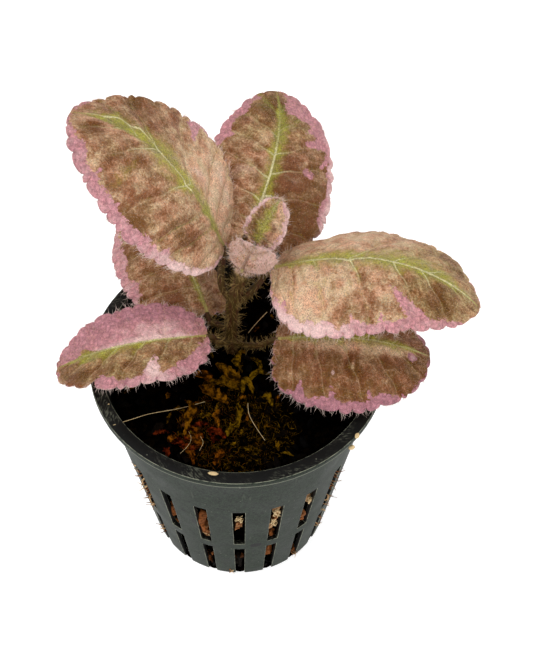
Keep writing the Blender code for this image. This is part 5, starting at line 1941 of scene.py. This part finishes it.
def make_fibres():
    """Loose fibres, a straw, roots in the front slots, seeds, and tufts that stick out at the
    pot's sides."""
    rng = np.random.default_rng(DRAWS["fibres"])
    piece = Piece()
    for places, radius in LOOSE_FIBRES:
        path = smooth_path([metres(place, radius) for place in places], 8)
        add_tube(piece, path, 6, flat=0.7, bumps=0.15)
    for seed in SEEDS:
        add_seed(piece, *seed)
    for degrees, height in ROOT_SLOTS:
        for _ in range(SLOT_ROOTS):
            turns = degrees + rng.uniform(-2.2, 2.2, 4)
            heights = height + rng.uniform(-2.0, 2.0, 4)
            outs = rng.uniform(-1.6, 0.1, 4)
            places = [slot_place(*at) for at in zip(turns, heights, outs)]
            path = smooth_path([(*place, 0.13 * MM) for place in places], 6)
            add_tube(piece, path, 6, flat=0.8, bumps=0.2)
    piece.build("loose_fibres", ("fibre",), "growing_mix")
    tufts = Piece()
    for degrees, height, reach in TUFTS:
        for _ in range(TUFT_FIBRES):
            turn = degrees + rng.uniform(-1.6, 1.6)
            level = max(height + rng.uniform(-2.2, 2.2), 2.4)
            foot = slot_place(turn, level, -1.5)
            middle = slot_place(turn + rng.uniform(-1, 1), level + rng.uniform(-1, 1), 0.0)
            far = rng.uniform(0.2, 1) * reach
            tip = slot_place(turn + rng.uniform(-3, 3), level + rng.uniform(-2, 2), far)
            thick = rng.uniform(0.08, 0.26) * MM
            path = smooth_path([(*foot, thick), (*middle, thick), (*tip, 0.06 * MM)], 5)
            add_tube(tufts, path, 6, flat=0.6, bumps=0.25, tone=rng.uniform(1.1, 2.2))
    tufts.build("slot_tufts", ("bark",), "growing_mix")


# The stage


def make_stage():
    """A round floor that bends up into a wall, two soft lights, an even sky and the camera."""
    look = setting("stage")
    around = 96
    angles = 2 * np.pi * np.arange(around) / around
    bend = [(2 + math.sin(turn), 1 - math.cos(turn)) for turn in np.linspace(0, math.pi / 2, 9)]
    section = [(0.5, 0), (1.2, 0), *bend, (3, 2.5)]
    rings = [ring(radius, height - 0.02 * MM, angles) for radius, height in section]
    index = np.arange(around * len(section)).reshape(-1, around)
    faces = grid_quads(index, True)[:, [0, 3, 2, 1]].tolist() + [index[0].tolist()]
    floor = linked("studio_floor", new_mesh("studio_floor", np.concatenate(rings), faces))
    floor.data.materials.append(finish_of("floor"))

    def area(name, place, width, power):
        """A round light of this width, aimed at the plant."""
        data = bpy.data.lights.new(name, "AREA")
        data.shape = "DISK"
        data.size = width
        data.energy = power
        light = linked(name, data)
        light.location = place
        way = Vector((0, 0, 80 * MM)) - Vector(place)
        light.rotation_euler = way.to_track_quat("-Z", "Y").to_euler()

    area("key_light", (-0.2, -0.12, 0.85), 0.4, look.key)
    area("fill_light", (0.35, -0.7, 0.55), 0.6, look.fill)
    scene = bpy.context.scene
    scene.world = bpy.data.worlds.new("studio")
    scene.world.use_nodes = True
    background = scene.world.node_tree.nodes["Background"]
    background.inputs["Color"].default_value = (1, 1, 1, 1)
    background.inputs["Strength"].default_value = look.sky
    scene.view_settings.view_transform = "Standard"
    data = bpy.data.cameras.new("camera")
    data.lens = CAMERA_LENS
    data.sensor_width = data.sensor_height = SENSOR
    data.clip_start = 10 * MM
    camera = linked("camera", data)
    turn = Matrix.Rotation(CAMERA_TILT, 4, "X") @ Matrix.Rotation(CAMERA_ROLL, 4, "Z")
    camera.matrix_world = Matrix.Translation(CAMERA_PLACE) @ turn
    scene.camera = camera


# The operators, one for each piece or group of like pieces


class BuildPot(bpy.types.Operator):
    """Build the net pot with rounded edges"""

    bl_idname = "violet.pot"
    bl_label = "Net pot"

    def execute(self, context):
        make_pot()
        return {"FINISHED"}


class BuildMedium(bpy.types.Operator):
    """Build the plug of growing mix with its bark"""

    bl_idname = "violet.medium"
    bl_label = "Growing mix and bark"

    def execute(self, context):
        make_soil()
        make_bark()
        return {"FINISHED"}


class BuildMoss(bpy.types.Operator):
    """Build the moss, the loose fibres and the roots"""

    bl_idname = "violet.moss"
    bl_label = "Moss and fibres"

    def execute(self, context):
        make_moss()
        make_fibres()
        return {"FINISHED"}


class BuildStem(bpy.types.Operator):
    """Build the hairy stem"""

    bl_idname = "violet.stem"
    bl_label = "Stem"

    def execute(self, context):
        make_stem()
        return {"FINISHED"}


class BuildLeaves(bpy.types.Operator):
    """Build the six grown leaves with their hairs"""

    bl_idname = "violet.leaves"
    bl_label = "Leaves"

    def execute(self, context):
        make_leaves(LEAVES, GROWN, "leaf")
        return {"FINISHED"}


class BuildYoungLeaves(bpy.types.Operator):
    """Build the two young leaves at the top of the stem"""

    bl_idname = "violet.young_leaves"
    bl_label = "Young leaves"

    def execute(self, context):
        make_leaves(YOUNG_LEAVES, YOUNG, "young_leaf")
        return {"FINISHED"}


class BuildStage(bpy.types.Operator):
    """Build the floor, the lights and the camera"""

    bl_idname = "violet.stage"
    bl_label = "Stage"

    def execute(self, context):
        make_stage()
        return {"FINISHED"}


class VioletPanel(bpy.types.Panel):
    """The pieces and their settings"""

    bl_idname = "VIEW3D_PT_violet"
    bl_label = "Flame violet"
    bl_space_type = "VIEW_3D"
    bl_region_type = "UI"
    bl_category = "Flame violet"

    def draw(self, context):
        for name, group, operators in SECTIONS:
            box = self.layout.box()
            box.label(text=group.__doc__)
            for operator in operators:
                box.operator(operator.bl_idname)
            settings = setting(name)
            for key in group.__annotations__:
                box.prop(settings, key)


SECTIONS = (
    ("pot", PotSettings, (BuildPot,)),
    ("medium", MediumSettings, (BuildMedium, BuildMoss)),
    ("leaf", LeafSettings, (BuildStem, BuildLeaves, BuildYoungLeaves)),
    ("hair", HairSettings, ()),
    ("stage", StageSettings, (BuildStage,)),
)


def register():
    for name, group, operators in SECTIONS:
        bpy.utils.register_class(group)
        setattr(bpy.types.Scene, "violet_" + name, PointerProperty(type=group))
        for operator in operators:
            bpy.utils.register_class(operator)
    bpy.utils.register_class(VioletPanel)


def unregister():
    bpy.utils.unregister_class(VioletPanel)
    for name, group, operators in reversed(SECTIONS):
        for operator in operators:
            bpy.utils.unregister_class(operator)
        delattr(bpy.types.Scene, "violet_" + name)
        bpy.utils.unregister_class(group)


def main():
    register()
    bpy.ops.violet.stage()
    bpy.ops.violet.pot()
    bpy.ops.violet.medium()
    bpy.ops.violet.moss()
    bpy.ops.violet.stem()
    bpy.ops.violet.leaves()
    bpy.ops.violet.young_leaves()


if __name__ == "__main__":
    main()
